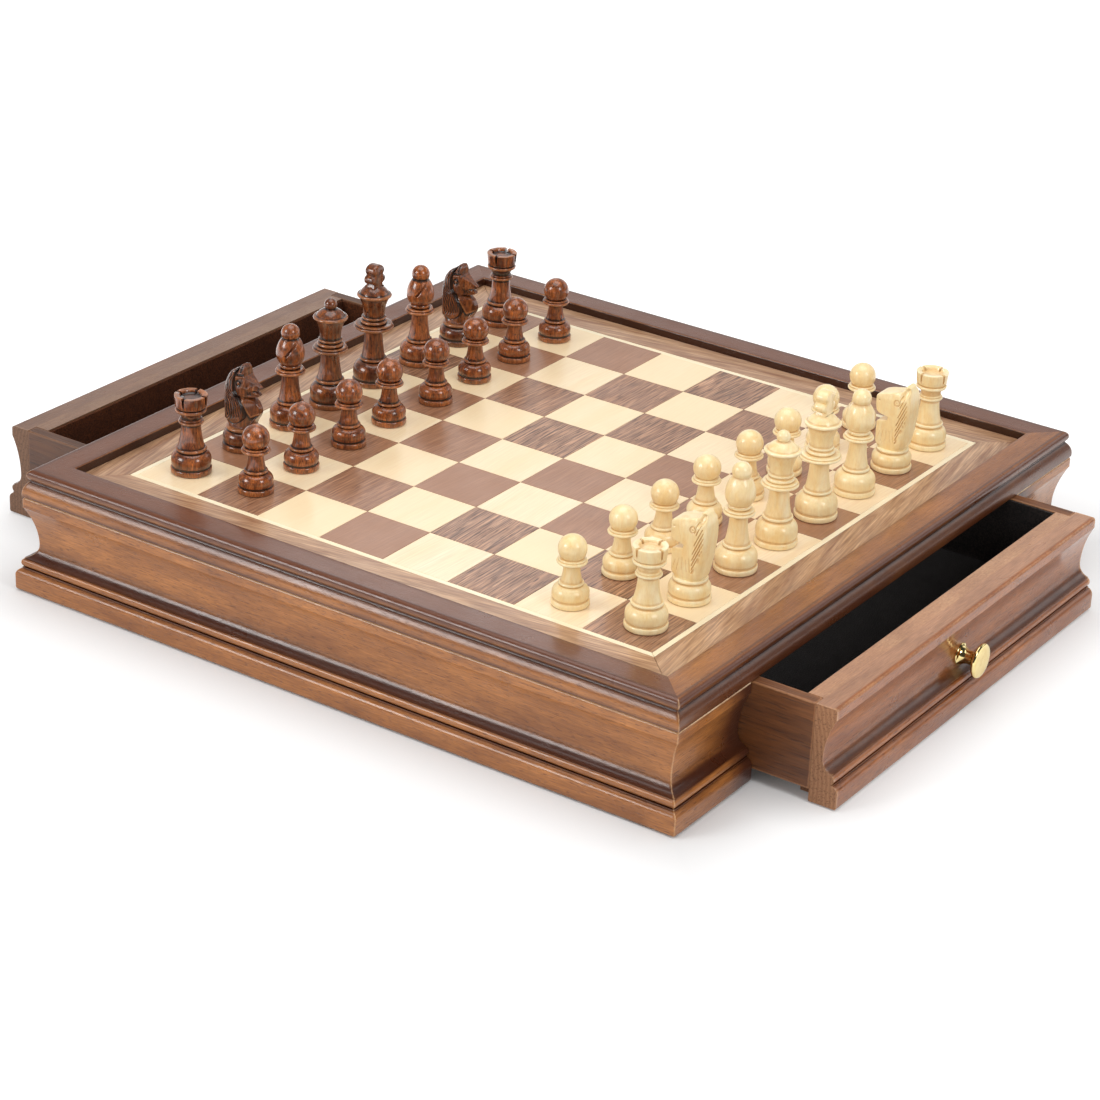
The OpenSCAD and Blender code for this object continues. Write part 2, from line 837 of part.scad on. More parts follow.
// What a queen and a king share over the collar: a bead, a hollow cup and a domed crown
module crown_outline(top, bead_r, cup_r, cup_h, crown_r, crown_h) {
    cup_z = top + 2 * man_collar_h;
    rim_z = cup_z + cup_h;
    rim_h = man_ring_h;
    cup_arc_r = arc_r(crown_r - rim_h / 2 - cup_r - land, cup_h);
    dome_r = arc_r(crown_h, crown_r - rim_h / 2);
    bead(bead_r, top, top + man_collar_h);
    band(cup_r, top, cup_z);
    bead((bead_r + cup_r) / 2, top + man_collar_h + man_groove_d, cup_z);
    difference() {
        band(crown_r - rim_h / 2, cup_z, rim_z);
        translate([cup_r + cup_arc_r, cup_z])
            circle(cup_arc_r);
    }
    bead(crown_r, rim_z, rim_z + rim_h);
    intersection() {
        translate([0, rim_z + rim_h / 2 + crown_h - dome_r])
            half_disc(dome_r);
        translate([0, rim_z + rim_h / 2])
            square([crown_r, crown_h]);
    }
}

// Height of the top of the crown
function crown_top(top, cup_h, crown_h) = top + 2 * man_collar_h + cup_h + man_ring_h / 2 + crown_h;

module queen() {
    top = collar_top(queen_body_h, queen_stem_h);
    rotate_extrude() {
        man_outline(queen_foot_r, queen_body_h, queen_ring_r, queen_stem_r, queen_stem_h, queen_collar_r);
        crown_outline(top, queen_bead_r, queen_cup_r, queen_cup_h, queen_crown_r, queen_crown_h);
        translate([0, crown_top(top, queen_cup_h, queen_crown_h) + queen_ball_r / 3])
            half_disc(queen_ball_r);
    }
}

// The cross faces along X, as the kings look at each other
module king() {
    top = collar_top(king_body_h, king_stem_h);
    crown_z = crown_top(top, king_cup_h, king_crown_h);
    rotate_extrude() {
        man_outline(king_foot_r, king_body_h, king_ring_r, king_stem_r, king_stem_h, king_collar_r);
        crown_outline(top, king_bead_r, king_cup_r, king_cup_h, king_crown_r, king_crown_h);
    }
    translate([0, 0, crown_z])
        rotate([90, 0, 90])
            linear_extrude(cross_t, center = true) {
                translate([-cross_arm_r, -king_crown_h / 3])
                    square([2 * cross_arm_r, king_crown_h / 3 + cross_arm_up + cross_top_up]);
                translate([-cross_arm_out, cross_arm_up - cross_arm_r])
                    square([2 * cross_arm_out, 2 * cross_arm_r]);
                for (y = [-1, 1])
                    translate([y * cross_arm_out, cross_arm_up])
                        circle(cross_arm_r);
                translate([0, cross_arm_up + cross_top_up])
                    circle(cross_top_r);
            }
}

// Puts a man on his square, off its middle as a hand leaves him. Ranks count from the left end and
// files from the near side.
module on_square(rank, file, off) {
    middle = (squares + 1) / 2;
    translate([(rank - middle) * square_w + off[0], (file - middle) * square_w + off[1], board_z + man_gap])
        children();
}

// A dark man looks along +X, turned by a few degrees
module dark_man(rank, file, off, turn = 0) {
    color("saddlebrown")
        on_square(rank, file, off)
            rotate(turn)
                children();
}

// A light man looks along -X, turned by a few degrees
module light_man(rank, file, off, turn = 0) {
    color("wheat")
        on_square(rank, file, off)
            rotate(180 + turn)
                children();
}

near_side_moulding();
far_side_moulding();
right_top_rail();
left_top_rail();
corner_blocks();
bottom_panel();
drawer_guides();
centre_partition();
board_core();
light_squares();
dark_squares();
inlay_lines();
border_veneers();

at_right() drawer_front();  // right_drawer_front
at_right() drawer_sides();  // right_drawer_sides
at_right() drawer_back();  // right_drawer_back
at_right() drawer_bottom();  // right_drawer_bottom
at_right() drawer_lining();  // right_drawer_lining
at_right() knob();  // right_knob
at_right() knob_screw();  // right_knob_screw
at_left() drawer_front();  // left_drawer_front
at_left() drawer_sides();  // left_drawer_sides
at_left() drawer_back();  // left_drawer_back
at_left() drawer_bottom();  // left_drawer_bottom
at_left() drawer_lining();  // left_drawer_lining
at_left() knob();  // left_knob
at_left() knob_screw();  // left_knob_screw

dark_man(1, 1, [-1.5, 1], 11) rook();  // dark_rook_1
dark_man(1, 2, [-1, 2.5]) knight();  // dark_knight_1
dark_man(1, 3, [-0.5, 2]) bishop();  // dark_bishop_1
dark_man(1, 4, [-1.5, -1.5]) queen();  // dark_queen
dark_man(1, 5, [-2, -1.5]) king();  // dark_king
dark_man(1, 6, [-0.5, -0.5]) bishop();  // dark_bishop_2
dark_man(1, 7, [-1.5, -1]) knight();  // dark_knight_2
dark_man(1, 8, [-0.5, -0.5], 11) rook();  // dark_rook_2
dark_man(2, 1, [0, 3]) pawn();  // dark_pawn_1
dark_man(2, 2, [0, 1]) pawn();  // dark_pawn_2
dark_man(2, 3, [0, 1.5]) pawn();  // dark_pawn_3
dark_man(2, 4, [-1, -1]) pawn();  // dark_pawn_4
dark_man(2, 5, [1, -1]) pawn();  // dark_pawn_5
dark_man(2, 6, [-1, -1]) pawn();  // dark_pawn_6
dark_man(2, 7, [-1.5, -1.5]) pawn();  // dark_pawn_7
dark_man(2, 8, [-1, -1]) pawn();  // dark_pawn_8

light_man(8, 1, [2.5, 1], -16) rook();  // light_rook_1
light_man(8, 2, [2.5, 0]) knight();  // light_knight_1
light_man(8, 3, [2.5, 3]) bishop();  // light_bishop_1
light_man(8, 4, [2.5, 2.5]) queen();  // light_queen
light_man(8, 5, [2, 3.5]) king();  // light_king
light_man(8, 6, [2.5, 3]) bishop();  // light_bishop_2
light_man(8, 7, [2.5, 3]) knight();  // light_knight_2
light_man(8, 8, [2.5, 2.5], -16) rook();  // light_rook_2
light_man(7, 1, [0.5, -1.5]) pawn();  // light_pawn_1
light_man(7, 2, [1, 2]) pawn();  // light_pawn_2
light_man(7, 3, [0.5, 1]) pawn();  // light_pawn_3
light_man(7, 4, [0.5, 1]) pawn();  // light_pawn_4
light_man(7, 5, [1, 2]) pawn();  // light_pawn_5
light_man(7, 6, [1, 1]) pawn();  // light_pawn_6
light_man(7, 7, [1, 1.5]) pawn();  // light_pawn_7
light_man(7, 8, [1, 1.5]) pawn();  // light_pawn_8
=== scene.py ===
import math
import random

import bpy
from mathutils import Matrix, Vector


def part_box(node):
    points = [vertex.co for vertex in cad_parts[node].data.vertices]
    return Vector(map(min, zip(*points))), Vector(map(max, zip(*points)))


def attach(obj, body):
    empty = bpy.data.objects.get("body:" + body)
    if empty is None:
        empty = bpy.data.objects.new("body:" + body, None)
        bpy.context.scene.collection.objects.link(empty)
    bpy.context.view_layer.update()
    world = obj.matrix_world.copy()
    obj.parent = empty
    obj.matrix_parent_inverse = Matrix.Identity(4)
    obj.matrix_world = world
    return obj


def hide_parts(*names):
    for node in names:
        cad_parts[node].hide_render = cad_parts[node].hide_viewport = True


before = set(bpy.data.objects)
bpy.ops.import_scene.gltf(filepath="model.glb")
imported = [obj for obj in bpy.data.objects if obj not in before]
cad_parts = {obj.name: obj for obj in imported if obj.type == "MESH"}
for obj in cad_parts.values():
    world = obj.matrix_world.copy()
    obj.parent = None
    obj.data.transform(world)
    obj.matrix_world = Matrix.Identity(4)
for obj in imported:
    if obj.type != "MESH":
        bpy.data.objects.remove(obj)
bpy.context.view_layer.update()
scene = bpy.context.scene
scene.view_settings.view_transform = "Standard"
dice = random.Random(64)

MM = 0.001

# The box, in millimetres: half widths from the middle, heights from the table
SQUARE = 37.0
FIELD = 4 * SQUARE
LINE = FIELD + 3.0  # outside of the pale line round the field
INNER = LINE + 18.0  # inside of the walls, where the border veneers end
BOARD_Z = 58.8
VENEER = 1.0
JOINT = 0.2  # open joint between two leaves of veneer
BOX_H = 63.2
OPENING_Z = 49.5  # top of a drawer's opening
DRAWER_TOP = 49.0
DRAWER_Y = 127.0  # outside of a drawer's sides
SIDE_Y = 120.6  # inside of them
RABBET = 7.6  # how far a drawer's sides reach into its front
MAN_Z = BOARD_Z + 0.1
EDGE_MARK_REACH = 1.4  # how far from an edge its wear and painted light are judged


# ---- Shader nodes ----

class Wire:
    """A shader socket that plain sums can be done with."""

    def __init__(self, tree, socket):
        self.tree, self.socket = tree, socket

    def __add__(self, other):
        return self.tree.math("ADD", self, other)

    def __sub__(self, other):
        return self.tree.math("SUBTRACT", self, other)

    def __rsub__(self, other):
        return self.tree.math("SUBTRACT", other, self)

    def __mul__(self, other):
        return self.tree.math("MULTIPLY", self, other)

    def __rtruediv__(self, other):
        return self.tree.math("DIVIDE", other, self)


class Tree:
    """A node tree with short ways to add what is used most."""

    def __init__(self, tree):
        self.nodes, self.links = tree.nodes, tree.links

    def wires(self, node):
        """The node's outputs, by name and by number."""
        found = {socket.name: Wire(self, socket) for socket in node.outputs}
        found.update((k, Wire(self, socket)) for k, socket in enumerate(node.outputs))
        return found

    def put(self, kind, inputs=None, **settings):
        """Adds a shader node; an input takes a plain value or a wire."""
        node = self.nodes.new("ShaderNode" + kind)
        for name, value in settings.items():
            setattr(node, name, value)
        for key, value in (inputs or {}).items():
            if isinstance(value, Wire):
                self.links.new(value.socket, node.inputs[key])
            else:
                node.inputs[key].default_value = value
        return self.wires(node)

    def math(self, operation, a, b=0.0, clamp=False):
        return self.put("Math", {0: a, 1: b}, operation=operation, use_clamp=clamp)[0]

    def vector(self, operation, a, b):
        return self.put("VectorMath", {0: a, "Scale" if operation == "SCALE" else 1: b}, operation=operation)[0]

    def remap(self, value, low, high, to_low=0.0, to_high=1.0):
        return self.put("MapRange", {0: value, 1: low, 2: high, 3: to_low, 4: to_high})[0]

    def mix(self, factor, a, b):
        """Blends two colours, each a wire or three levels from 0 to 255."""
        a, b = (shade(*colour) if isinstance(colour, tuple) else colour for colour in (a, b))
        return self.put("Mix", {0: factor, 6: a, 7: b}, data_type="RGBA")[2]

    def noise(self, vector, scale, detail, roughness=0.5, distortion=0.0):
        return self.put("TexNoise", {"Vector": vector, "Scale": scale, "Detail": detail, "Roughness": roughness,
                                     "Distortion": distortion})["Fac"]

    def mark(self, name):
        return self.put("Attribute", attribute_name=name)["Fac"]

    def toned(self, colour, dark):
        """An object's own colour darkens the whole piece."""
        return self.mix(1.0 - self.put("ObjectInfo")["Color"], colour, dark)


def shade(*levels):
    """A colour mixed on a 0 to 255 scale, as the shader wants it."""
    shares = [level / 255 for level in levels]
    return (*(c / 12.92 if c <= 0.04045 else ((c + 0.055) / 1.055) ** 2.4 for c in shares), 1.0)


def emptied(owner):
    """The node tree of a material or of the world, without the nodes that it starts with."""
    owner.use_nodes = True
    owner.node_tree.nodes.clear()
    return Tree(owner.node_tree)


# ---- Camera, floor and light ----

def set_camera():
    lens = bpy.data.cameras.new("camera")
    lens.sensor_width = 36
    lens.lens = 105.24
    lens.clip_start = 0.05
    lens.clip_end = 50
    camera = bpy.data.objects.new("camera", lens)
    camera.matrix_world = Matrix(((0.82352, -0.27537, 0.49597, 0.7969),
                                  (0.56579, 0.33502, -0.75343, -1.2187),
                                  (0.04131, 0.90107, 0.43169, 0.7050),
                                  (0, 0, 0, 1)))
    scene.collection.objects.link(camera)
    scene.camera = camera


def lay_floor():
    """A pale floor whose glow, a painted light, grows the further it lies from the box, so that the floor round the box
    is painted darker as well as shadowed.
    """
    half = 6.0
    mesh = bpy.data.meshes.new("floor")
    mesh.from_pydata([(-half, -half, 0), (half, -half, 0), (half, half, 0), (-half, half, 0)], [], [(0, 1, 2, 3)])
    floor = bpy.data.objects.new("floor", mesh)
    floor.location.z = -0.0003
    scene.collection.objects.link(floor)
    paint = bpy.data.materials.new("floor")
    tree = emptied(paint)
    seen = tree.put("LightPath")
    direct = tree.math("MAXIMUM", seen["Is Camera Ray"], seen["Is Glossy Ray"])
    apart = tree.put("SeparateXYZ", {0: tree.put("TexCoord")["Object"]})
    away = tree.math("MAXIMUM", tree.math("ABSOLUTE", apart["X"]), tree.math("ABSOLUTE", apart["Y"]))
    glow = tree.remap(away, 0.19, 0.33, 0.02, 0.50) + tree.remap(away, 0.8, 2.2, 0.0, 0.50)
    white = tree.put("BsdfDiffuse", {"Color": (0.77, 0.77, 0.77, 1)})[0]
    shining = tree.put("Emission", {"Color": (1, 1, 1, 1), "Strength": direct * glow})[0]
    tree.put("OutputMaterial", {"Surface": tree.put("AddShader", {0: white, 1: shining})[0]})
    mesh.materials.append(paint)


def light_world():
    """White to the camera, a dim room to the wood, and brighter towards the backdrop in what is glossy."""
    world = bpy.data.worlds.new("studio")
    scene.world = world
    tree = emptied(world)
    seen = tree.put("LightPath")
    direct = tree.math("MAXIMUM", seen["Is Camera Ray"], seen["Is Transmission Ray"])
    way = tree.put("TexCoord")["Generated"]
    towards_backdrop = tree.put("VectorMath", {0: way, 1: (-0.55, 0.835, -0.10)}, operation="DOT_PRODUCT")[1]
    room, mirrored, plain = (tree.put("Background", {"Color": (1, 1, 1, 1), "Strength": strength})[0]
                             for strength in (0.50, tree.remap(towards_backdrop, 0.1, 0.9, 0.05, 0.66), 1.0))
    lit = tree.put("MixShader", {0: seen["Is Glossy Ray"], 1: room, 2: mirrored})[0]
    tree.put("OutputWorld", {"Surface": tree.put("MixShader", {0: direct, 1: lit, 2: plain})[0]})


def softbox(name, place_at, aim, width, height, power):
    lamp = bpy.data.lights.new(name, "AREA")
    lamp.shape = "RECTANGLE"
    lamp.size = width
    lamp.size_y = height
    lamp.energy = power
    holder = bpy.data.objects.new(name, lamp)
    holder.location = place_at
    holder.rotation_mode = "QUATERNION"
    holder.rotation_quaternion = (Vector(aim) - Vector(place_at)).to_track_quat("-Z", "Y")
    holder.visible_camera = False
    scene.collection.objects.link(holder)
    return holder


def set_lights():
    """Soft lamps all round. The board's flat lacquer is kept from mirroring the two strong ones as a white glare."""
    groups = []
    for label, state in (("board leaves", "INCLUDE"), ("all but the board", "EXCLUDE")):
        group = bpy.data.collections.new(label)
        for name in ("light_leaves", "dark_leaves", "inlay_strips", "border_strips"):
            group.objects.link(bpy.data.objects[name])
        for leaves in group.collection_objects:
            leaves.light_linking.link_state = state
        groups.append(group)
    for name, settings in (("left", ((-0.98, -1.52, 0.88), (0, 0, 0.05), 0.75, 0.65, 14.0)),
                           ("right", ((1.35, -0.35, 0.95), (0, 0, 0.05), 0.45, 0.65, 6.5))):
        for group, part in zip(groups, (" softbox on the board", " softbox")):
            lamp = softbox(name + part, *settings)
            lamp.light_linking.receiver_collection = group
            lamp.visible_glossy = part == " softbox"
    softbox("top softbox", (-0.10, 0.0, 1.55), (0, 0, 0), 1.3, 1.3, 12.0)
    softbox("far softbox", (0.92, 1.45, 0.80), (0.1, 0, 0.05), 1.0, 0.5, 1.8)
    softbox("back softbox", (-0.80, 1.03, 0.78), (0.05, -0.15, 0.06), 0.34, 0.18, 0.35)


# ---- Effects that several finishes share ----

def new_group(name, inputs, effect):
    """A node group; an input without a value is a vector. The effect gives the outputs by name."""
    group = bpy.data.node_groups.new(name, "ShaderNodeTree")
    for label, value in inputs.items():
        kind = "NodeSocketVector" if value is None else "NodeSocketFloat"
        socket = group.interface.new_socket(label, in_out="INPUT", socket_type=kind)
        if value is not None:
            socket.default_value = value
    tree = Tree(group)
    results = effect(tree, tree.wires(group.nodes.new("NodeGroupInput")))
    for label in results:
        group.interface.new_socket(label, in_out="OUTPUT", socket_type="NodeSocketFloat")
    out = group.nodes.new("NodeGroupOutput")
    for label, wire in results.items():
        group.links.new(wire.socket, out.inputs[label])
    return group


def wood_grain(tree, given):
    """Wood grain along X: wide bands, fine fibres and short dark pores. Widths are in metres."""
    def streaks(width, length, detail, distortion):
        scaled = tree.vector("SCALE", given["Vector"], 1.0 / given[width])
        drawn_out = tree.put("CombineXYZ", {0: (1 / length) / given["Length"], 1: 1.0, 2: 1.0})[0]
        return tree.noise(tree.vector("MULTIPLY", scaled, drawn_out), 1.0, detail, 0.55, distortion)

    return {"Bands": tree.remap(streaks("Band Width", 9, 3.0, given["Wander"]), 0.30, 0.70),
            "Fibres": tree.remap(streaks("Fibre Width", 26, 2.0, 0.1), 0.32, 0.68),
            "Pores": tree.remap(streaks("Pore Width", 14, 1.0, 0.0), 0.60, 0.70)}


def wear_stain_and_painted_light(tree, given):
    """Turns an edge mark, -1 in a groove to 1 on a ridge, into pale places, partly rubbed wear and partly painted
    highlight, and dark ones, partly stain and partly painted shade.
    """
    edge = given["Edge"]
    scaled = tree.vector("SCALE", given["Vector"], 1.0 / given["Speckle Size"])
    speckle = tree.noise(tree.vector("MULTIPLY", scaled, (0.6, 1, 1)), 1.0, 2.0, 0.6)
    rough = speckle + tree.noise(given["Vector"], 38.0, 1.0) - 1.0
    hollow_of = edge * -1.0
    ridge = edge + rough * 0.9
    groove = hollow_of + rough * 0.9
    rubbed_and_highlit = tree.remap(ridge, 0.3, 0.95) * tree.remap(edge, 0.15, 0.5) * given["Rub"]
    # A ridge marked well above 1 also gets a strong pale line: a painted highlight.
    return {"Rubbed": tree.math("ADD", rubbed_and_highlit, tree.remap(ridge, 1.5, 2.1), clamp=True),
            "Stained": tree.remap(groove, 0.02, 0.55) * tree.remap(hollow_of, 0.04, 0.30) * given["Stain"]}


def lacquered(tree, given):
    """Small changes in the gloss of a lacquered surface, and its faint ripple."""
    cloud = tree.remap(tree.noise(given["Vector"], 55.0, 3.0), 0.3, 0.7)
    return {"Roughness": given["Low"] + cloud * (given["High"] - given["Low"]),
            "Ripple": tree.noise(given["Vector"], 420.0, 1.0)}


GRAIN = new_group("wood grain", {"Vector": None, "Band Width": 0.010, "Fibre Width": 0.0008, "Pore Width": 0.0006,
                                 "Wander": 0.5, "Length": 1.0}, wood_grain)
WEAR_AND_LIGHT = new_group("rubbed ridges and stained grooves",
                 {"Vector": None, "Edge": 0.0, "Speckle Size": 0.0012, "Rub": 0.5, "Stain": 0.5}, wear_stain_and_painted_light)
LACQUER = new_group("lacquer", {"Vector": None, "Low": 0.25, "High": 0.4}, lacquered)


def grain_at(tree, place, band, fibre, pore, wander, length=1.0):
    return tree.put("Group", {"Vector": place, "Band Width": band, "Fibre Width": fibre, "Pore Width": pore,
                              "Wander": wander, "Length": length}, node_tree=GRAIN)


def wear_and_light_at(tree, place, rub_and_highlight, stain_and_shade, speckle=0.0012):
    return tree.put("Group", {"Vector": place, "Edge": tree.mark("edge"), "Speckle Size": speckle, "Rub": rub_and_highlight,
                              "Stain": stain_and_shade}, node_tree=WEAR_AND_LIGHT)


def lacquer_at(tree, place, low, high):
    return tree.put("Group", {"Vector": place, "Low": low, "High": high}, node_tree=LACQUER)


def grained(tree, grain, pale, deep, dark, fibre, pore):
    """Wood from pale to deep in its bands, with the dark colour in its fibres and pores."""
    wood = tree.mix(grain["Bands"], pale, deep)
    wood = tree.mix(grain["Fibres"] * fibre, wood, dark)
    return tree.mix(grain["Pores"] * pore, wood, dark)


def own_place(tree, along="X"):
    """The piece's own coordinates, with the grain turned along X and shifted so that no two pieces match."""
    shift = tree.vector("MULTIPLY", tree.put("ObjectInfo")["Random"], (7.3, 3.1, 5.9))
    moved = tree.vector("ADD", tree.put("TexCoord")["Object"], shift)
    quarter = math.pi / 2
    turn = {"X": (0, 0, 0), "Y": (0, 0, -quarter), "Z": (0, quarter, 0)}[along]
    return tree.put("Mapping", {"Vector": moved, "Rotation": turn})[0]


def new_finish(name):
    finish = bpy.data.materials.new(name)
    tree = emptied(finish)
    tree.finish = finish
    return tree


def surfaced(tree, settings, colour, roughness, relief, depth):
    """The finish with its one Principled shader; the settings are plain values on its own sockets."""
    normal = tree.put("Bump", {"Height": relief, "Distance": depth, "Strength": 1.0})[0]
    shader = tree.put("BsdfPrincipled", {**settings, "Base Color": colour, "Roughness": roughness, "Normal": normal})
    tree.put("OutputMaterial", {"Surface": shader[0]})
    return tree.finish


# ---- Finishes ----

def walnut_stain(name, pale, deep, dark, top, shading=1.0):
    """Stained moulding: golden on the flats, darker in the hollows and on the top members, partly wiped stain and
    partly painted shade, and a little pale on its sharp edges, partly wear and partly painted highlight."""
    tree = new_finish(name)
    place = own_place(tree)
    grain = grain_at(tree, place, 0.012, 0.0007, 0.0006, 0.5, 0.5)
    wear_and_light = wear_and_light_at(tree, place, 0.5, 0.7, 0.0010)
    lacquer = lacquer_at(tree, place, 0.26, 0.42)
    wood = grained(tree, grain, pale, deep, dark, 0.42, 0.50)
    top_toned_and_lit = tree.mix(grain["Bands"], top, tree.mix(0.35, top, dark))
    top_toned_and_lit = tree.mix(grain["Fibres"] * 0.30, top_toned_and_lit, dark)
    wood = tree.mix(tree.mark("topping"), wood, top_toned_and_lit)
    wiped = tree.mark("wiped")
    wood = tree.mix(wiped * tree.remap(grain["Bands"], 0.0, 1.0, 0.82 * shading, 1.0 * shading), wood, (78, 37, 18))
    # A mark above 1 paints the wood on towards black: painted shade, at the drawer openings and on the frame's inner
    # face.
    wood = tree.mix(tree.remap(wiped, 1.0, 2.0), wood, (18, 8, 5))
    wood = tree.mix(wear_and_light["Rubbed"], wood, tree.mix(wear_and_light["Rubbed"], (206, 144, 90), (244, 214, 172)))
    wood = tree.mix(wear_and_light["Stained"], wood, (54, 25, 12))
    return surfaced(tree, {"Coat Weight": 0.50, "Coat Roughness": 0.17, "Specular IOR Level": 0.42},
                    tree.toned(wood, (48, 26, 18)), lacquer["Roughness"],
                    lacquer["Ripple"] - grain["Pores"] * 0.8 - grain["Fibres"] * 0.35, 0.00008)


def end_grain():
    """Sawn ends of the mouldings: fine curved rings and many small pores."""
    tree = new_finish("walnut end grain")
    place = tree.put("TexCoord")["Object"]
    rings = tree.put("TexWave", {"Vector": tree.vector("MULTIPLY", place, (0.2, 1, 1)), "Scale": 150.0,
                                 "Distortion": 3.5, "Detail": 2.0, "Detail Scale": 0.6},
                     wave_type="RINGS", rings_direction="X")["Fac"]
    pits = tree.noise(place, 1500.0, 1.0)
    wood = tree.mix(rings * 0.6, (172, 122, 84), (138, 92, 60))
    wood = tree.mix(tree.remap(pits, 0.54, 0.68, 0, 0.5), wood, (60, 38, 26))
    return surfaced(tree, {"Coat Weight": 0.1, "Coat Roughness": 0.4}, tree.toned(wood, (36, 22, 18)),
                    tree.remap(pits, 0.3, 0.7, 0.5, 0.65), 1.0 - pits, 0.00012)


def sawn_wood(name, pale, deep, dark, along, coat, rough, rub_and_highlight=0.5):
    """Planed boards: drawer sides, backs and bottoms, and the hidden panels."""
    tree = new_finish(name)
    place = own_place(tree, along)
    grain = grain_at(tree, place, 0.009, 0.0010, 0.0008, 0.9)
    wood = grained(tree, grain, pale, deep, dark, 0.35, 0.5)
    wood = tree.mix(wear_and_light_at(tree, place, rub_and_highlight, 0.0)["Rubbed"], wood, (190, 134, 90))
    lacquer = lacquer_at(tree, place, rough, rough + 0.15)
    return surfaced(tree, {"Coat Weight": coat, "Coat Roughness": 0.3}, tree.toned(wood, (44, 24, 17)),
                    lacquer["Roughness"], grain["Fibres"] + grain["Pores"], 0.00008)


def veneer(name, pale, deep, dark, fibre, pore, band=0.008, wander=0.6, warm=0.3):
    """Sliced veneer under satin lacquer; every leaf has its own tint and its own piece of the tree."""
    tree = new_finish(name)
    leaf = tree.put("UVMap", uv_map="leaf")[0]
    grain = grain_at(tree, leaf, band, 0.0009, 0.0008, wander)
    wood = grained(tree, grain, pale, deep, dark, fibre, pore)
    lacquer = lacquer_at(tree, leaf, 0.30, 0.42)
    return surfaced(tree, {"Coat Weight": 0.45, "Coat Roughness": 0.20}, tree.mix(tree.mark("tint") * warm, wood, deep),
                    lacquer["Roughness"], lacquer["Ripple"] - grain["Pores"] * 0.5, 0.00005)


def felt(name, pile, deep, sheen):
    tree = new_finish(name)
    place = tree.put("TexCoord")["Object"]
    fuzz = tree.noise(place, 1300.0, 3.0)
    matting = tree.noise(place, 90.0, 2.0)
    cloth = tree.mix(tree.remap(fuzz, 0.35, 0.65), deep, pile)
    return surfaced(tree, {"Sheen Weight": sheen, "Sheen Roughness": 0.5, "Specular IOR Level": 0.2},
                    tree.mix(tree.remap(matting, 0.4, 0.7, 0, 0.4), cloth, deep),
                    tree.remap(matting, 0.3, 0.7, 0.85, 1.0), fuzz, 0.0004)


def polished_brass():
    tree = new_finish("polished brass")
    place = tree.put("TexCoord")["Object"]
    breath = tree.noise(place, 260.0, 3.0)
    turning = tree.put("TexWave", {"Vector": place, "Scale": 900.0}, wave_type="RINGS", rings_direction="X")["Fac"]
    metal = tree.mix(tree.remap(breath, 0.35, 0.7, 0, 0.5), (242, 222, 160), (222, 190, 120))
    return surfaced(tree, {"Metallic": 1.0}, metal, tree.remap(breath, 0.3, 0.7, 0.06, 0.14), turning, 0.000002)


def screw_steel():
    tree = new_finish("screw steel")
    marks = tree.noise(tree.put("TexCoord")["Object"], 900.0, 2.0)
    return surfaced(tree, {"Metallic": 1.0}, tree.mix(marks, (186, 186, 184), (140, 140, 140)),
                    tree.remap(marks, 0.3, 0.7, 0.3, 0.5), marks, 0.00002)


def polished_men(name, pale, deep, dark, coat, coat_rough, rough, fibre, pore, mottle, stain_and_shade, rub_and_highlight, rim):
    """Turned and polished wood with the grain up the man; the stain lies thicker in its grooves, and its ridges take
    the rim colour, partly rubbed and partly a painted highlight.
    """
    tree = new_finish(name)
    place = own_place(tree, "Z")
    grain = grain_at(tree, place, 0.0060, 0.0007, 0.0006, 1.2, 0.35)
    wear_and_light = wear_and_light_at(tree, place, rub_and_highlight, stain_and_shade)
    clouds = tree.noise(place, 320.0, 4.0, 0.7)
    wood = grained(tree, grain, pale, deep, dark, fibre, pore)
    wood = tree.mix(tree.remap(clouds, 0.47, 0.62) * mottle, wood, dark)
    wood = tree.mix(wear_and_light["Rubbed"], tree.toned(wood, dark), rim)
    lacquer = lacquer_at(tree, place, rough, rough + 0.12)
    return surfaced(tree, {"Coat Weight": coat, "Coat Roughness": coat_rough}, tree.mix(wear_and_light["Stained"], wood, dark),
                    lacquer["Roughness"], lacquer["Ripple"] - grain["Pores"] * 0.6, 0.00005)


WALNUT = walnut_stain("walnut stain", (206, 134, 68), (160, 98, 46), (84, 42, 20), (118, 68, 40))
# The drawer front's top colour is lighter and greyer than its face: a painted highlight on the face that looks up.
DRAWER_FRONT = walnut_stain("drawer front stain", (196, 120, 60), (152, 84, 38), (72, 34, 14), (194, 142, 108), 0.8)
END_GRAIN = end_grain()
DRAWER_SIDE, DRAWER_BACK = (sawn_wood("drawer " + part, (142, 86, 42), (98, 54, 24), (46, 24, 12), along, 0.2, 0.4)
                            for part, along in (("side wood", "X"), ("back wood", "Y")))
PANEL_WOOD = sawn_wood("panel wood", (196, 158, 112), (170, 128, 86), (120, 84, 56), "X", 0.0, 0.6, rub_and_highlight=0.2)
LIGHT_VENEER = veneer("maple veneer", (254, 238, 206), (248, 222, 178), (226, 180, 142),
                      fibre=0.32, pore=0.14, band=0.016, warm=0.8)
DARK_VENEER = veneer("walnut veneer", (226, 174, 136), (162, 114, 84), (66, 36, 24),
                     fibre=0.95, pore=1.0, band=0.0028, wander=0.8, warm=0.9)
BORDER_VENEER = veneer("border veneer", (226, 184, 144), (160, 112, 78), (98, 60, 40),
                       fibre=0.60, pore=0.35, band=0.0060, wander=1.3, warm=0.15)
INLAY_VENEER = veneer("inlay veneer", (254, 242, 212), (248, 230, 190), (230, 204, 162), fibre=0.2, pore=0.1)
RIGHT_FELT = felt("black felt", (48, 38, 34), (20, 15, 13), 0.2)
LEFT_FELT = felt("brown felt", (98, 50, 22), (60, 29, 12), 0.03)
BRASS = polished_brass()
STEEL = screw_steel()
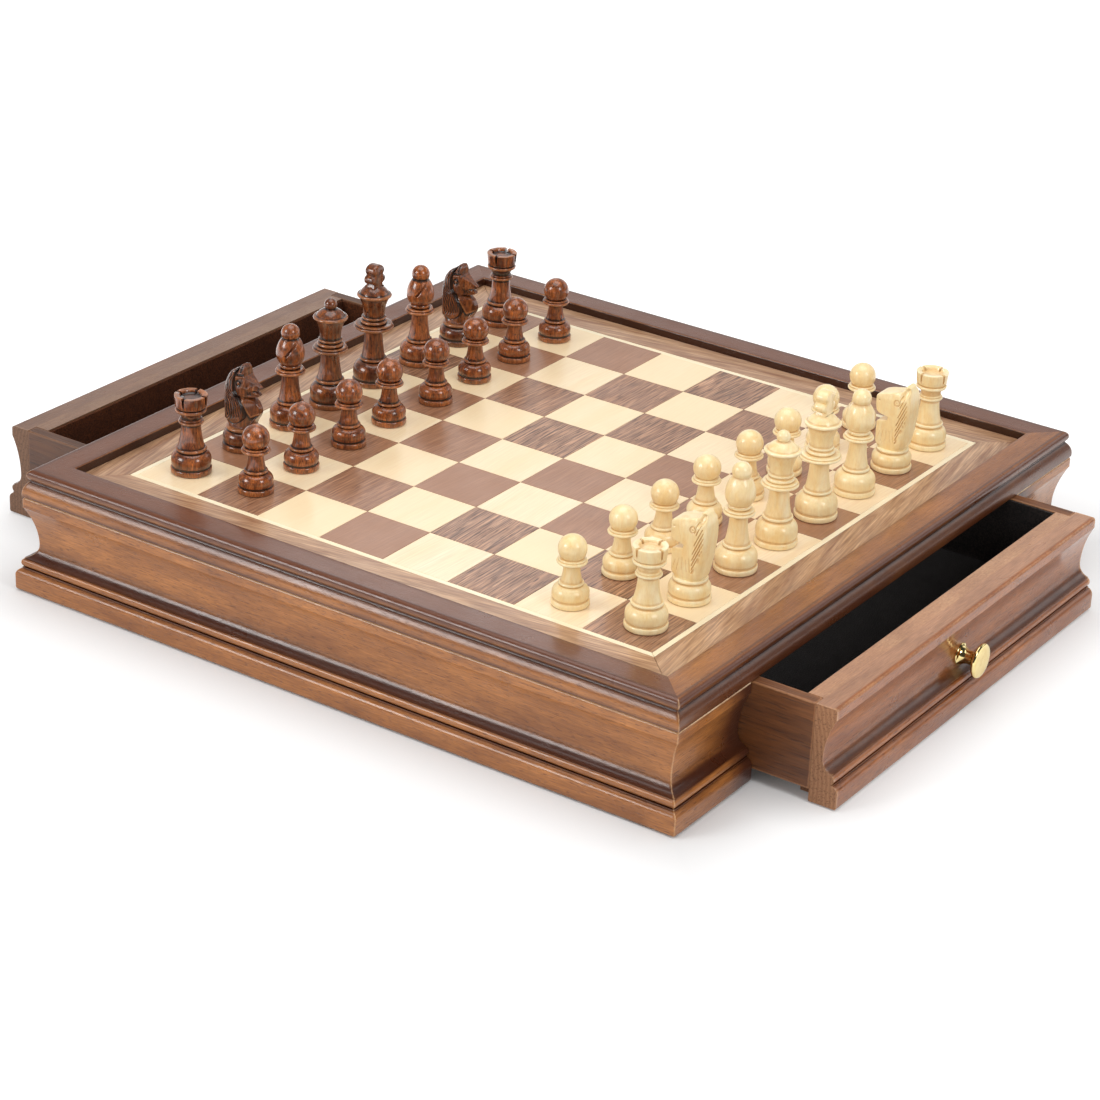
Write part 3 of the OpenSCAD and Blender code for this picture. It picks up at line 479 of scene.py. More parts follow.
DARK_MAN = polished_men("stained boxwood", (220, 124, 60), (122, 56, 24), (26, 10, 5), coat=0.75, coat_rough=0.04,
                        rough=0.24, fibre=0.65, pore=0.8, mottle=0.40, stain_and_shade=0.95, rub_and_highlight=0.25, rim=(236, 160, 100))
LIGHT_MAN = polished_men("pale boxwood", (255, 238, 190), (252, 220, 156), (206, 146, 80), coat=0.6, coat_rough=0.12,
                         rough=0.32, fibre=0.12, pore=0.06, mottle=0.08, stain_and_shade=0.42, rub_and_highlight=0.4, rim=(255, 248, 214))


# ---- Mesh making ----

class Shape:
    """Collects the points and faces of one piece, in millimetres."""

    def __init__(self):
        self.points, self.faces, self.slots, self.leaf = [], [], [], {}
        self.marks = {"edge": [], "topping": [], "tint": [], "wiped": []}

    def add(self, point, edge=0.0, topping=0.0, tint=0.0, wiped=0.0):
        self.points.append(point)
        for values, value in zip(self.marks.values(), (edge, topping, tint, wiped)):
            values.append(value)
        return len(self.points) - 1

    def face(self, corners, slot=0):
        self.faces.append(tuple(corners))
        self.slots.append(slot)

    def rings(self, rings):
        """Joins each closed ring of points to the next one."""
        for below, above in zip(rings, rings[1:]):
            for i in range(len(below)):
                j = (i + 1) % len(below)
                self.face((below[i], below[j], above[j], above[i]))

    def tube(self, rings, slot=0):
        """Rings joined into a closed length, with a face on each end."""
        self.rings(rings)
        self.face(reversed(rings[0]), slot)
        self.face(rings[-1], slot)

    def fan(self, ring, pole, edge=0.0):
        """Closes a ring with triangles that meet at a point."""
        tip = self.add(pole, edge)
        for a, b in zip(ring, ring[1:] + ring[:1]):
            self.face((a, b, tip))

    def mesh(self, name, finishes, crease=34):
        mesh = bpy.data.meshes.new(name)
        mesh.from_pydata([(x * MM, y * MM, z * MM) for x, y, z in self.points], [], self.faces)
        for finish in finishes:
            mesh.materials.append(finish)
        mesh.polygons.foreach_set("material_index", self.slots)
        for label, values in self.marks.items():
            mesh.attributes.new(label, "FLOAT", "POINT").data.foreach_set("value", values)
        if self.leaf:
            layer = mesh.uv_layers.new(name="leaf")
            for corner in mesh.loops:
                layer.data[corner.index].uv = self.leaf[corner.vertex_index]
        mesh.shade_smooth()
        mesh.set_sharp_from_angle(angle=math.radians(crease))
        mesh.update()
        return mesh


def place(name, mesh, body, stands_for, at=(0, 0, 0), turn=0.0, tone=1.0, slot=None):
    """Puts a piece on its body; the tone, 1 or less, darkens it."""
    piece = bpy.data.objects.new(name, mesh)
    scene.collection.objects.link(piece)
    piece.location = [v * MM for v in at]
    piece.rotation_euler = (0, 0, math.radians(turn))
    piece.color = (tone, tone, tone, 1)
    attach(piece, body)
    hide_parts(stands_for)


def arc(cx, cy, r, start, end, steps=8):
    turns = [math.radians(start + (end - start) * i / steps) for i in range(steps + 1)]
    return [(cx + r * math.cos(turn), cy + r * math.sin(turn)) for turn in turns]


def along_line(points, lengths, s):
    """The point at a length s along a line, held at its ends."""
    s = min(max(s, 0), lengths[-1])
    i = 0
    while i < len(lengths) - 2 and lengths[i + 1] < s:
        i += 1
    t = (s - lengths[i]) / (lengths[i + 1] - lengths[i] or 1)
    return [points[i][k] + (points[i + 1][k] - points[i][k]) * t for k in (0, 1)]


def edge_marks(points, reach):
    """How each point of an outline lies to its neighbours: -1 deep in a groove, 1 on a sharp ridge."""
    lengths = [0.0]
    for a, b in zip(points, points[1:]):
        lengths.append(lengths[-1] + math.dist(a, b))
    marks = []
    for length, point in zip(lengths, points):
        near = [along_line(points, lengths, length + reach * k / 3) for k in (-3, -2, -1, 1, 2, 3)]
        mean = [sum(p[k] for p in near) / len(near) for k in (0, 1)]
        dx, dz = near[-1][0] - near[0][0], near[-1][1] - near[0][1]
        size = math.hypot(dx, dz) or 1
        depth = (mean[0] - point[0]) * dz / size - (mean[1] - point[1]) * dx / size
        marks.append(max(-1.0, min(1.0, -depth / (0.32 * reach))))
    return marks


def softened(marks, share=0.4):
    """The same marks with the ridges less rubbed and less highlit."""
    return [value * share if value > 0 else value for value in marks]


# ---- The moulded walls ----

def moulding_face():
    """The wall's outside from the table up: foot, bead, hollow, shoulder, ovolo and top bead, as (out, up)."""
    line = arc(20.2, 1.5, 1.5, -90, 0, 5)
    line += arc(18.2, 7.9, 3.5, 0, 75, 9)
    line += [(19.1, 11.9), (17.9, 11.95)]
    line += arc(17.25, 14.25, 2.35, -72, 84, 14)
    line += [(18.35, 16.65)]
    line += arc(19.6, 23.0, 6.4, -100.8, -180, 12)
    bow = (5.1 ** 2 + 20.5 ** 2) / (2 * 5.1)
    sweep = math.degrees(math.asin(20.5 / bow))
    line += arc(13.2 + bow, 23.0, bow, 180, 180 - sweep, 24)[1:]
    line += [(18.4, 43.6)]
    line += arc(16.9, 47.5, 1.5, 0, 70, 6)
    line += [(17.4, 49.0), (17.4, 49.45), (18.3, 49.5)]
    low = math.degrees(math.asin(-1.1 / 9))
    high = math.degrees(math.asin(6.4 / 9))
    line += arc(9.7, 50.6, 9.0, low, high, 14)
    line += [(15.75, 57.25), (15.62, 57.6), (15.7, 57.95)]
    line += arc(14.05, 60.35, 2.85, -50, 90, 13)
    return line


def lip():
    """Over the top of the wall and down its inner face to the board."""
    flat = [(out, BOX_H) for out in (13.8, 13.0, 11.0, 7.5, 4.0)]
    return flat + arc(1.0, 62.2, 1.0, 90, 180, 6) + [(0.0, 60.6), (0.0, 59.3)]


def cut(line, low, high):
    """The part of a face between two heights."""
    kept = []
    for a, b in zip(line, line[1:]):
        if low <= a[1] <= high:
            kept.append(a)
        for level in (low, high):
            if (a[1] - level) * (b[1] - level) < 0:
                t = (level - a[1]) / (b[1] - a[1])
                kept.append((a[0] + (b[0] - a[0]) * t, level))
    if low <= line[-1][1] <= high:
        kept.append(line[-1])
    return kept


# How dark the wall's face is painted at each height, and its flat top at each width in from the board: partly stain
# wiped into the quirks, grooves and hollows, and partly painted shade in the low hollow, at the foot of the big hollow
# and in the groove under the top bead. Above 1 the wood is painted on towards black.
WIPED_AND_SHADED_BY_HEIGHT = [(0.0, 0.50), (1.6, 0.25), (8.5, 0.15), (10.6, 0.30), (11.6, 0.85), (11.95, 1.1), (12.5, 0.65),
                   (13.6, 0.20), (15.6, 0.15), (16.3, 0.8), (16.7, 1.15), (18.6, 1.1), (19.4, 0.95), (20.2, 0.60),
                   (21.6, 0.40), (24.0, 0.22), (28.0, 0.10), (34.0, 0.0), (46.0, 0.04), (48.2, 0.15), (49.0, 0.25),
                   (49.3, 0.85), (49.5, 1.05), (50.2, 0.80), (51.2, 0.40), (52.4, 0.25), (54.0, 0.45), (55.4, 0.65),
                   (56.6, 0.95), (57.6, 1.1), (58.4, 0.75), (59.6, 0.55), (60.6, 0.85), (61.4, 0.65), (63.2, 0.30)]
WIPED_AND_SHADED_ON_TOP = [(0.0, 0.85), (0.8, 0.45), (2.5, 0.0), (8.0, 0.05), (12.4, 0.15), (13.2, 0.35), (13.9, 1.0),
                (14.2, 0.60)]


def between(table, z):
    """Smooth value at height z of a table of (height, value), never beyond the two values it lies between."""
    if z <= table[0][0]:
        return table[0][1]
    if z >= table[-1][0]:
        return table[-1][1]

    def rise(k):
        return (table[k + 1][1] - table[k][1]) / (table[k + 1][0] - table[k][0])

    def slope(k):
        if k == 0 or k == len(table) - 1:
            return 0.0
        before, after = rise(k - 1), rise(k)
        return 2 * before * after / (before + after) if before * after > 0 else 0.0

    k = max(i for i in range(len(table) - 1) if table[i][0] <= z)
    (z0, v0), (z1, v1) = table[k], table[k + 1]
    length = z1 - z0
    t = (z - z0) / length
    return (v0 * (1 + 2 * t) * (1 - t) ** 2 + v1 * t * t * (3 - 2 * t)
            + length * t * (1 - t) * (slope(k) * (1 - t) - slope(k + 1) * t))


def stain_of(out, up, rail_shade=0.0, top=1.0):
    """The topping on the frame's top and its top bead, and how dark it is painted here: wiped stain and painted shade.
    A rail is painted at least so dark all down its ovolo as painted shade; the right one's flat top, with less topping,
    is a painted highlight."""
    topping = top if up > 63.0 else float(up > 60.6 and out > 2)
    # The frame's inner face above the board is painted on towards black: painted shade.
    if out < 0.9 and up < 62.9:
        wiped = 1.4
    else:
        wiped = between(WIPED_AND_SHADED_ON_TOP, out) if up > 63.1 else between(WIPED_AND_SHADED_BY_HEIGHT, up)
    return topping, max(wiped, rail_shade if up < 60.5 else 0.0)


MITRE_STATIONS = ((1.6, 0, 0), (0.6, 0, 0.4), (None, 24, 1), (None, 45, 1))
MITRE_EASE = 0.6


def mitre_ring(shape, outline, marks, sign, station, *rail_shade_and_top_light):
    """A section of moulding near a mitre: set back from it, or turned round the mitre's eased corner."""
    back, angle, rubbed_and_highlit = station
    short = MITRE_EASE * (1 - math.sin(math.radians(angle)))
    shallow = MITRE_EASE * (1 - math.cos(math.radians(angle)))
    ring = []
    for (out, up), value in zip(outline, marks):
        soft = min(1.0, out / 4)
        along = INNER + out - (back or short * soft)
        # The eased mitre corner is marked pale: partly wear and partly a painted highlight.
        worn_and_highlit = rubbed_and_highlit * (0.8 if up < 62.9 else 0.15)
        topping, wiped = stain_of(out, up, *rail_shade_and_top_light)
        ring.append(shape.add((sign * along, INNER + out - shallow * soft, up),
                              value + (1.0 - min(value, 1.0)) * worn_and_highlit, topping, wiped=wiped))
    return ring


def run(shape, outline, marks, *rail_shade_and_top_light):
    """A length of moulding along X, mitred at both ends, with its face towards +Y."""
    stations = ((14.0, 0, 0),) + MITRE_STATIONS
    shape.tube([mitre_ring(shape, outline, marks, sign, station, *rail_shade_and_top_light)
                for sign in (-1, 1) for station in stations[::sign]], 1)


def stubs(shape, outline, marks, opening_shade):
    """The two short lengths of moulding beside a drawer, painted darkest at the opening's sides: painted shade."""
    opening = DRAWER_Y + 0.5
    for sign in (-1, 1):
        rings = [[shape.add((sign * (opening + inward), INNER + out, up), value,
                            wiped=max(stain_of(out, up)[1], opening_shade * share))
                  for (out, up), value in zip(outline, marks)]
                 for inward, share in ((0, 1.0), (5.0, 0.9), (11.0, 0.7), (18.0, 0.4), (30.0, 0.0))]
        rings += [mitre_ring(shape, outline, marks, sign, station) for station in MITRE_STATIONS]
        shape.tube(rings[::sign], 1)


def marked(inside_before, line, inside_after, ridge=1.0, ridge_top=49.0):
    """An outline, closed through the wood, and its edge marks: set on the shoulder under a drawer's top, a pale line
    that is a painted highlight, and where the lip meets the board, a dark line of stain and painted shade."""
    outline = inside_before + line + inside_after
    marks = [0.0] * len(inside_before) + softened(edge_marks(line, EDGE_MARK_REACH)) + [0.0] * len(inside_after)
    for k, (out, up) in enumerate(outline):
        if 48.3 < up < ridge_top and out > 17:
            marks[k] = ridge
        elif out < 0.01 and up > 59:
            marks[k] = -0.45 if up > 60 else -1.0
    return outline, marks


def build_walls():
    face, finishes = moulding_face(), [WALNUT, END_GRAIN]
    under = OPENING_Z - 0.02
    whole = marked([], face + lip(), [(0.0, 57.8), (0.0, 0.0)])
    upper = marked([(0.0, OPENING_Z)], cut(face, OPENING_Z, BOX_H + 1) + lip(), [])
    lower = marked([], cut(face, 0.0, under), [(0.0, under), (0.0, 0.0)], 1.65, 49.2)

    wall = Shape()
    run(wall, *whole)
    wall_mesh = wall.mesh("side moulding", finishes)
    for side, turn in (("near", 180), ("far", 0)):
        place(side + "_moulding", wall_mesh, "box", side + "_side_moulding", turn=turn, slot="moulding_wood")

    # The right rail's flat top takes less of the dark topping than the left's, so it is painted lighter: a painted
    # highlight.
    for side, turn, top in (("right", -90, 0.4), ("left", 90, 1.0)):
        rail = Shape()
        run(rail, *upper, 0.95, top)
        place(side + "_rail", rail.mesh(side + " top rail", finishes), "box", side + "_top_rail", turn=turn,
              slot="moulding_wood")
    # The right stubs are painted on towards black at their opening, the left ones less dark: painted shade.
    for side, turn, opening_shade in (("right", -90, 1.3), ("left", 90, 0.6)):
        ends = Shape()
        stubs(ends, *lower, opening_shade)
        place(side + "_stubs", ends.mesh(side + " stubs", finishes), "box", "corner_blocks", turn=turn,
              slot="moulding_wood")


# ---- The board ----

def leaf_of_veneer(shape, corners, along, tint):
    """One flat leaf with eased edges; corners run anticlockwise, along is the grain's direction in degrees."""
    ease = 0.12
    cx = sum(x for x, _ in corners) / len(corners)
    cy = sum(y for _, y in corners) / len(corners)
    shift_u, shift_v = dice.uniform(0, 9), dice.uniform(0, 9)
    inner = []
    for before, (x, y), after in zip(corners[-1:] + corners, corners, corners[1:] + corners[:1]):
        normals = []
        for a, b in ((before, (x, y)), ((x, y), after)):
            length = math.dist(a, b)
            normals.append(((a[1] - b[1]) / length, (b[0] - a[0]) / length))
        (ax, ay), (bx, by) = normals
        spread = 1 + ax * bx + ay * by
        inner.append((x + (ax + bx) / spread * ease, y + (ay + by) / spread * ease))
    rings = [[shape.add((x, y, z), tint=tint) for x, y in ring]
             for ring, z in ((corners, BOARD_Z - VENEER), (corners, BOARD_Z - ease), (inner, BOARD_Z))]
    shape.tube(rings)
    cos, sin = math.cos(math.radians(along)), math.sin(math.radians(along))
    for index in sum(rings, []):
        x, y, _ = shape.points[index]
        dx, dy = (x - cx) * MM, (y - cy) * MM
        shape.leaf[index] = (shift_u + dx * cos + dy * sin, shift_v - dx * sin + dy * cos)


def build_board():
    light, dark = Shape(), Shape()
    gap = JOINT / 2
    far = SQUARE - gap
    for i in range(8):
        for j in range(8):
            x, y = (i - 4) * SQUARE, (j - 4) * SQUARE
            corners = [(x + a, y + b) for a, b in ((gap, gap), (far, gap), (far, far), (gap, far))]
            leaf_of_veneer(dark if (i + j) % 2 else light, corners, 90 + dice.uniform(-4, 4), dice.random())
    for label, shape, finish in (("light", light, LIGHT_VENEER), ("dark", dark, DARK_VENEER)):
        place(label + "_leaves", shape.mesh(label + " leaves", [finish]), "box", label + "_squares",
              slot=label + "_veneer")

    for name, a0, a1, finish, node, slot, lean in (
            ("inlay_strips", FIELD, LINE - JOINT, INLAY_VENEER, "inlay_lines", "inlay_veneer", 0),
            ("border_strips", LINE, INNER, BORDER_VENEER, "border_veneers", "border_veneer", 9)):
        shape = Shape()
        for quarter in range(4):
            cos, sin = math.cos(math.radians(90 * quarter)), math.sin(math.radians(90 * quarter))
            corners = [(out * cos - along * sin, out * sin + along * cos)
                       for out, along in ((a0, gap - a0), (a1, gap - a1), (a1, a1 - gap), (a0, a0 - gap))]
            leaf_of_veneer(shape, corners, 90 + 90 * quarter + lean, dice.random())
        place(name, shape.mesh(name, [finish]), "box", node, slot=slot)


# ---- The drawers, drawn shut at the right-hand end ----

def board(shape, low, high, ease=0.35):
    """A planed board with eased edges, marked along them for wear."""
    stops = []
    for a, b in zip(low, high):
        margin = min(EDGE_MARK_REACH, (b - a) / 3)
        stops.append((a + margin, b - margin))

    def layer(z, inset, edge):
        xs, ys = ((a + inset, *stop, b - inset) for a, b, stop in zip(low, high, stops[:2]))
        loop = [(x, ys[0]) for x in xs[:-1]] + [(xs[-1], y) for y in ys[:-1]]
        loop += [(x, ys[-1]) for x in reversed(xs[1:])] + [(xs[0], y) for y in reversed(ys[1:])]
        return [shape.add((x, y, z), 1.0 if edge or i % 3 == 0 else 0.0) for i, (x, y) in enumerate(loop)]

    z0, z1 = low[2], high[2]
    levels = ((z0, ease, True), (z0 + ease, 0, True), (stops[2][0], 0, False), (stops[2][1], 0, False),
              (z1 - ease, 0, True), (z1, ease, True))
    rings = [layer(*level) for level in levels]
    shape.rings(rings)
    (xa, xb), (ya, yb) = stops[:2]
    for ring, z, way in ((rings[0], z0, -1), (rings[-1], z1, 1)):
        inner = [shape.add((x, y, z)) for x, y in ((xa, ya), (xb, ya), (xb, yb), (xa, yb))]
        patches = [inner]
        for side in range(4):
            before, a, b, c = (ring[(3 * side + n) % 12] for n in (-1, 0, 1, 2))
            patches += [(before, a, b, inner[side]), (b, c, inner[(side + 1) % 4], inner[side])]
        for patch in patches:
            shape.face(patch[::way])


def drawer_front():
    """The moulded front with a rabbet behind each end, in one shell."""
    low, high = 0.5, DRAWER_TOP
    front = cut(moulding_face(), low, high)
    front[-1] = (16.9, high)
    seam = 0.12
    shape = Shape()
    edge_line = [(front[0][0] - 3, low)] + front + [(15.9, high), (14.0, high), (9.5, high)]
    outline = edge_line + [(RABBET + seam, high), (0.0, high), (0.0, low), (RABBET + seam, low)]
    marks = softened(edge_marks(edge_line, EDGE_MARK_REACH), 0.7) + [0.6, 0.6, 0.0, 0.0]

    def section(x, rubbed_and_highlit, kept):
        ring = []
        for (out, up), value in list(zip(outline, marks))[:kept] + [(outline[-1], marks[-1])]:
            # The flat top takes the finish's top colour: on a drawer front that is lighter, a painted highlight.
            on_top = up > high - 0.05 and out < 16.2
            ring.append(shape.add((x, INNER + out, up), value + (1 - value) * rubbed_and_highlit * 0.8, float(on_top),
                                  wiped=0.0 if on_top else stain_of(out, up)[1]))
        return ring

    shallow, deep = len(outline) - 3, len(outline) - 1
    middle = [section(side * (SIDE_Y - seam), 0, deep) for side in (-1, 1)]
    shape.rings(middle)
    for side, ring in zip((-1, 1), middle):
        tails = [ring[:shallow] + ring[-1:]]
        tails += [section(side * (DRAWER_Y - short), rubbed_and_highlit, shallow)
                  for short, rubbed_and_highlit in ((2.5, 0), (0.35, 1), (0, 1))]
        shape.rings(tails[::side])
        for end in (tails[-1], ring[shallow - 1:]):
            shape.face(end[::side], 1)
    return shape.mesh("drawer front", [DRAWER_FRONT, END_GRAIN])


def felt_lining(x0, x1, y1, z0, z1, thick):
    """A tray of felt: walls and floor, rounded where it turns up and a little uneven along its rim."""
    shape, bend, steps = Shape(), 2.2, 24
    path = [(0.0, z0), (0.0, z1), (0.0, z1 + 0.15), (thick * 0.5, z1 + 0.25), (thick, z1)]
    path += arc(thick + bend, z0 + thick + bend, bend, 180, 270, 6)
    rings = []
    for inset, z in path:
        xa, xb, ya, yb = x0 + inset, x1 - inset, -y1 + inset, y1 - inset
        corners = [(xa, ya), (xb, ya), (xb, yb), (xa, yb), (xa, ya)]
        loop = [(a[0] + (b[0] - a[0]) * k / steps, a[1] + (b[1] - a[1]) * k / steps)
                for a, b in zip(corners, corners[1:]) for k in range(steps)]
        ring = []
        for i, (x, y) in enumerate(loop):
            wave = 0.18 * math.sin(i * 0.9) * math.sin(i * 0.37 + 1) if z >= z1 else 0
            ring.append(shape.add((x, y, min(z + wave, DRAWER_TOP - 0.2))))
        rings.append(ring)
    shape.tube(rings)
    return shape


def turned(outline, reach=1.5, sides=72, axis="Z"):
    """A turned solid from its outline (radius, height), closed on the axis at both ends."""
    shape = Shape()

    def spot(radius, height, k=0):
        x, y = radius * math.cos(2 * math.pi * k / sides), radius * math.sin(2 * math.pi * k / sides)
        return (height, x, y) if axis == "X" else (x, y, height)

    rings = [[shape.add(spot(radius, height, k), value) for k in range(sides)]
             for (radius, height), value in zip(outline, edge_marks(outline, reach))]
    shape.rings(rings)
    shape.fan(rings[0][::-1], spot(0, outline[0][1]))
    shape.fan(rings[-1], spot(0, outline[-1][1]))
    return shape


def knob_outline():
    """Half section of the knob, from its seat out to its slightly domed face."""
    line = [(2.4, 0.3), (5.5, 0.3)] + arc(5.0, 1.1, 0.8, -60, 60, 6)
    line += [(4.75, 2.1), (4.1, 3.0), (3.55, 4.2), (3.32, 5.6), (3.3, 6.8), (3.6, 7.8), (4.4, 8.7), (5.7, 9.5)]
    line += [(7.0, 10.1)] + arc(7.4, 11.35, 1.1, -62, 68, 9)
    return line + [(6.6, 12.5), (4.6, 12.58), (2.4, 12.6)]


def build_drawers():
    z0, back_x = 6.3, 10.7
    sides, back = Shape(), Shape()
    for y0, y1 in ((-DRAWER_Y, -SIDE_Y), (SIDE_Y, DRAWER_Y)):
        board(sides, (4.3, y0, z0), (INNER + RABBET, y1, DRAWER_TOP))
    board(back, (4.3, -SIDE_Y, z0), (back_x, SIDE_Y, DRAWER_TOP))
    front_mesh = drawer_front()
    sides_mesh, back_mesh = sides.mesh("drawer sides", [DRAWER_SIDE]), back.mesh("drawer back", [DRAWER_BACK])
    lining = felt_lining(back_x, INNER, SIDE_Y, 11.3, DRAWER_TOP - 1.0, 1.0)
    knob = turned(knob_outline(), 1.2, 64, "X").mesh("knob", [BRASS], 40)
    # The left drawer, all but its felt, is toned darker than the right one, at 0.45: painted shade.
    for label, turn, x, cloth, tone in (("right", 0, 43.0, RIGHT_FELT, 1.0), ("left", 180, -63.0, LEFT_FELT, 0.45)):
        body = label + "_drawer"
        for part, mesh, node, spin, dark, slot in (
                ("_front", front_mesh, "_front", -90, tone, "moulding_wood"),
                ("_sides", sides_mesh, "_sides", 0, tone, "drawer_wood"),
                ("_back", back_mesh, "_back", 0, tone, "drawer_wood"),
                ("_felt", lining.mesh(label + " felt", [cloth], 60), "_lining", 0, 1.0, "felt")):
            place(label + part, mesh, body, body + node, (x, 0, 0), turn + spin, dark, slot)
        seat = x + math.copysign(INNER + 12.6, x)
        place(label + "_pull", knob, body, label + "_knob", (seat, 0, 23.5), turn, slot="knob_brass")


# ---- The chessmen: each outline is the largest radius of its turned members at every height ----

def band(w, z0, z1, low=0.0, high=0.0):
    def radius(z):
        if not z0 <= z <= z1:
            return 0.0
        if low and z < z0 + low:
            return w - low + math.sqrt(max(low ** 2 - (z0 + low - z) ** 2, 0))
        if high and z > z1 - high:
            return w - high + math.sqrt(max(high ** 2 - (z - z1 + high) ** 2, 0))
        return w
    return radius


def bead(w, z0, z1):
    return band(w, z0, z1, (z1 - z0) / 2, (z1 - z0) / 2)


def ball(r, zc):
    return lambda z: math.sqrt(max(r * r - (z - zc) ** 2, 0))


def hollow(wide, waist, z0, z1, waist_on_top=True):
    """A concave length that leaves its waist at a tangent."""
    h = z1 - z0
    d = wide - waist
    bend = (d * d + h * h) / (2 * d)

    def radius(z):
        if not z0 <= z <= z1:
            return 0.0
        t = z1 - z if waist_on_top else z - z0
        return waist + bend - math.sqrt(max(bend ** 2 - t ** 2, 0))
    return radius


def members_outline(members, top, step=0.1):
    """Samples the largest radius and drops the points that lie on a straight line."""
    count = int(round(top / step))
    line = [(max(m(i * step) for m in members), i * step) for i in range(count)]
    line = [p for p in line if p[0] > 0.02] + [(0.02, top)]
    kept = [line[0]]
    k = 0
    while k < len(line) - 1:
        reach = k + 1
        while reach + 1 < len(line) and reach - k < 12:
            a, b = line[k], line[reach + 1]
            span = math.dist(a, b)
            worst = max(abs((b[0] - a[0]) * (a[1] - p[1]) - (a[0] - p[0]) * (b[1] - a[1])) / span
                        for p in line[k + 1:reach + 1])
            if worst > 0.02:
                break
            reach += 1
        kept.append(line[reach])
        k = reach
    return [(0.4, 0.0)] + kept


def base(foot_r, body_h, ring_r):
    ring_z = 3.0 + body_h
    return [band(foot_r, 0, 3.0, 0.9, 0.9),
            band(foot_r - 0.85, 1.5, 4.4),
            band(foot_r - 0.3, 3.35, ring_z, 1.5, body_h * 0.58),
            band(ring_r - 0.8, 3.0, ring_z + 1.6),
            bead(ring_r, ring_z, ring_z + 1.6)]


def body(foot_r, body_h, ring_r, stem_r, stem_h, collar_r):
    """The base, the stem and the double collar that all men but the knights have, and the collar's top."""
    z0 = 4.6 + body_h
    z1 = z0 + stem_h
    return base(foot_r, body_h, ring_r) + [
        hollow(ring_r - 0.9, stem_r, z0, z1),
        bead(collar_r, z1 + 0.1, z1 + 1.6),
        band(collar_r - 1.3, z1 + 1.4, z1 + 1.9),
        bead(collar_r - 0.7, z1 + 1.6, z1 + 2.6)], z1 + 2.6


def pawn_mesh(finish):
    members, top = body(8.9, 7.0, 5.9, 3.7, 8.9, 7.1)
    members += [ball(6.7, top + 4.5), band(4.6, top, top + 0.6)]
    return turned(members_outline(members, top + 11.2)).mesh("pawn", [finish])


def crowned(members, top, radii, cup_h, dome_h, dome_r):
    """Adds a king's or queen's cup and domed crown to the members; gives the crown's top."""
    low_r, neck_r, high_r, cup_r, rim_r = radii
    cup_z = top + 5.2
    rim_z = cup_z + cup_h
    crown_top = rim_z + 0.8 + dome_h
    dome = ball((dome_h ** 2 + dome_r ** 2) / (2 * dome_h), crown_top - (dome_h ** 2 + dome_r ** 2) / (2 * dome_h))
    members += [bead(low_r, top, top + 2.0), band(neck_r, top, cup_z), bead(high_r, top + 2.6, top + 4.0),
                hollow(cup_r, neck_r, cup_z, rim_z, False), bead(rim_r, rim_z, rim_z + 1.7),
                lambda z: dome(z) * (0.985 if rim_z + 1.0 < z < crown_top else 0)]
    return crown_top


def queen_mesh(finish):
    members, top = body(10.4, 10.0, 7.4, 4.6, 15.0, 9.0)
    crown_top = crowned(members, top, (6.8, 5.4, 6.2, 8.0, 8.9), 9.2, 5.2, 8.1)
    members += [bead(2.6, crown_top - 0.6, crown_top + 0.4), ball(3.3, crown_top + 1.5)]
    return turned(members_outline(members, crown_top + 4.8)).mesh("queen", [finish])


def king_mesh(finish):
    members, top = body(10.6, 10.0, 7.0, 4.6, 16.0, 10.3)
    crown_top = crowned(members, top, (6.9, 5.6, 6.3, 8.1, 9.0), 9.3, 5.8, 8.2)
    shape = turned(members_outline(members, crown_top - 0.02))
    cross(shape, crown_top)
    return shape.mesh("king", [finish])


def cross(shape, foot_z):
    """The carved cross on a king's crown: a thick stem, two side lobes and a larger top lobe, all eased."""
    right = [(4.2, -1.9), (3.6, -0.6), (3.1, 0.5)] + arc(3.1, 2.9, 2.3, -65, 62, 9) + [(3.5, 5.3)]
    right += [(4.5 * math.cos(math.radians(a)), 7.6 + 3.1 * math.sin(math.radians(a))) for a in range(-36, 91, 9)]
    outline = right + [(-y, z) for y, z in reversed(right[:-1])]
    half = 3.3
    layers = [(depth - half, inset)
              for depth, inset in ((0, 1.25), (0.12, 0.75), (0.45, 0.32), (0.95, 0.08), (1.5, 0.0))]
    rings = []
    for depth, inset in layers + [(-depth, inset) for depth, inset in reversed(layers)]:
        ring = []
        for before, (y, z), after in zip(outline[-1:] + outline, outline, outline[1:] + outline[:1]):
            dy, dz = after[0] - before[0], after[1] - before[1]
            share = inset / (math.hypot(dy, dz) or 1)
            ring.append(shape.add((depth, y - dz * share, foot_z + z + dy * share), 0.35 if 0.05 < inset < 1 else -0.1))
        rings.append(ring)
    shape.tube(rings)


def around(radius, angle):
    return radius * math.cos(math.radians(angle)), radius * math.sin(math.radians(angle))


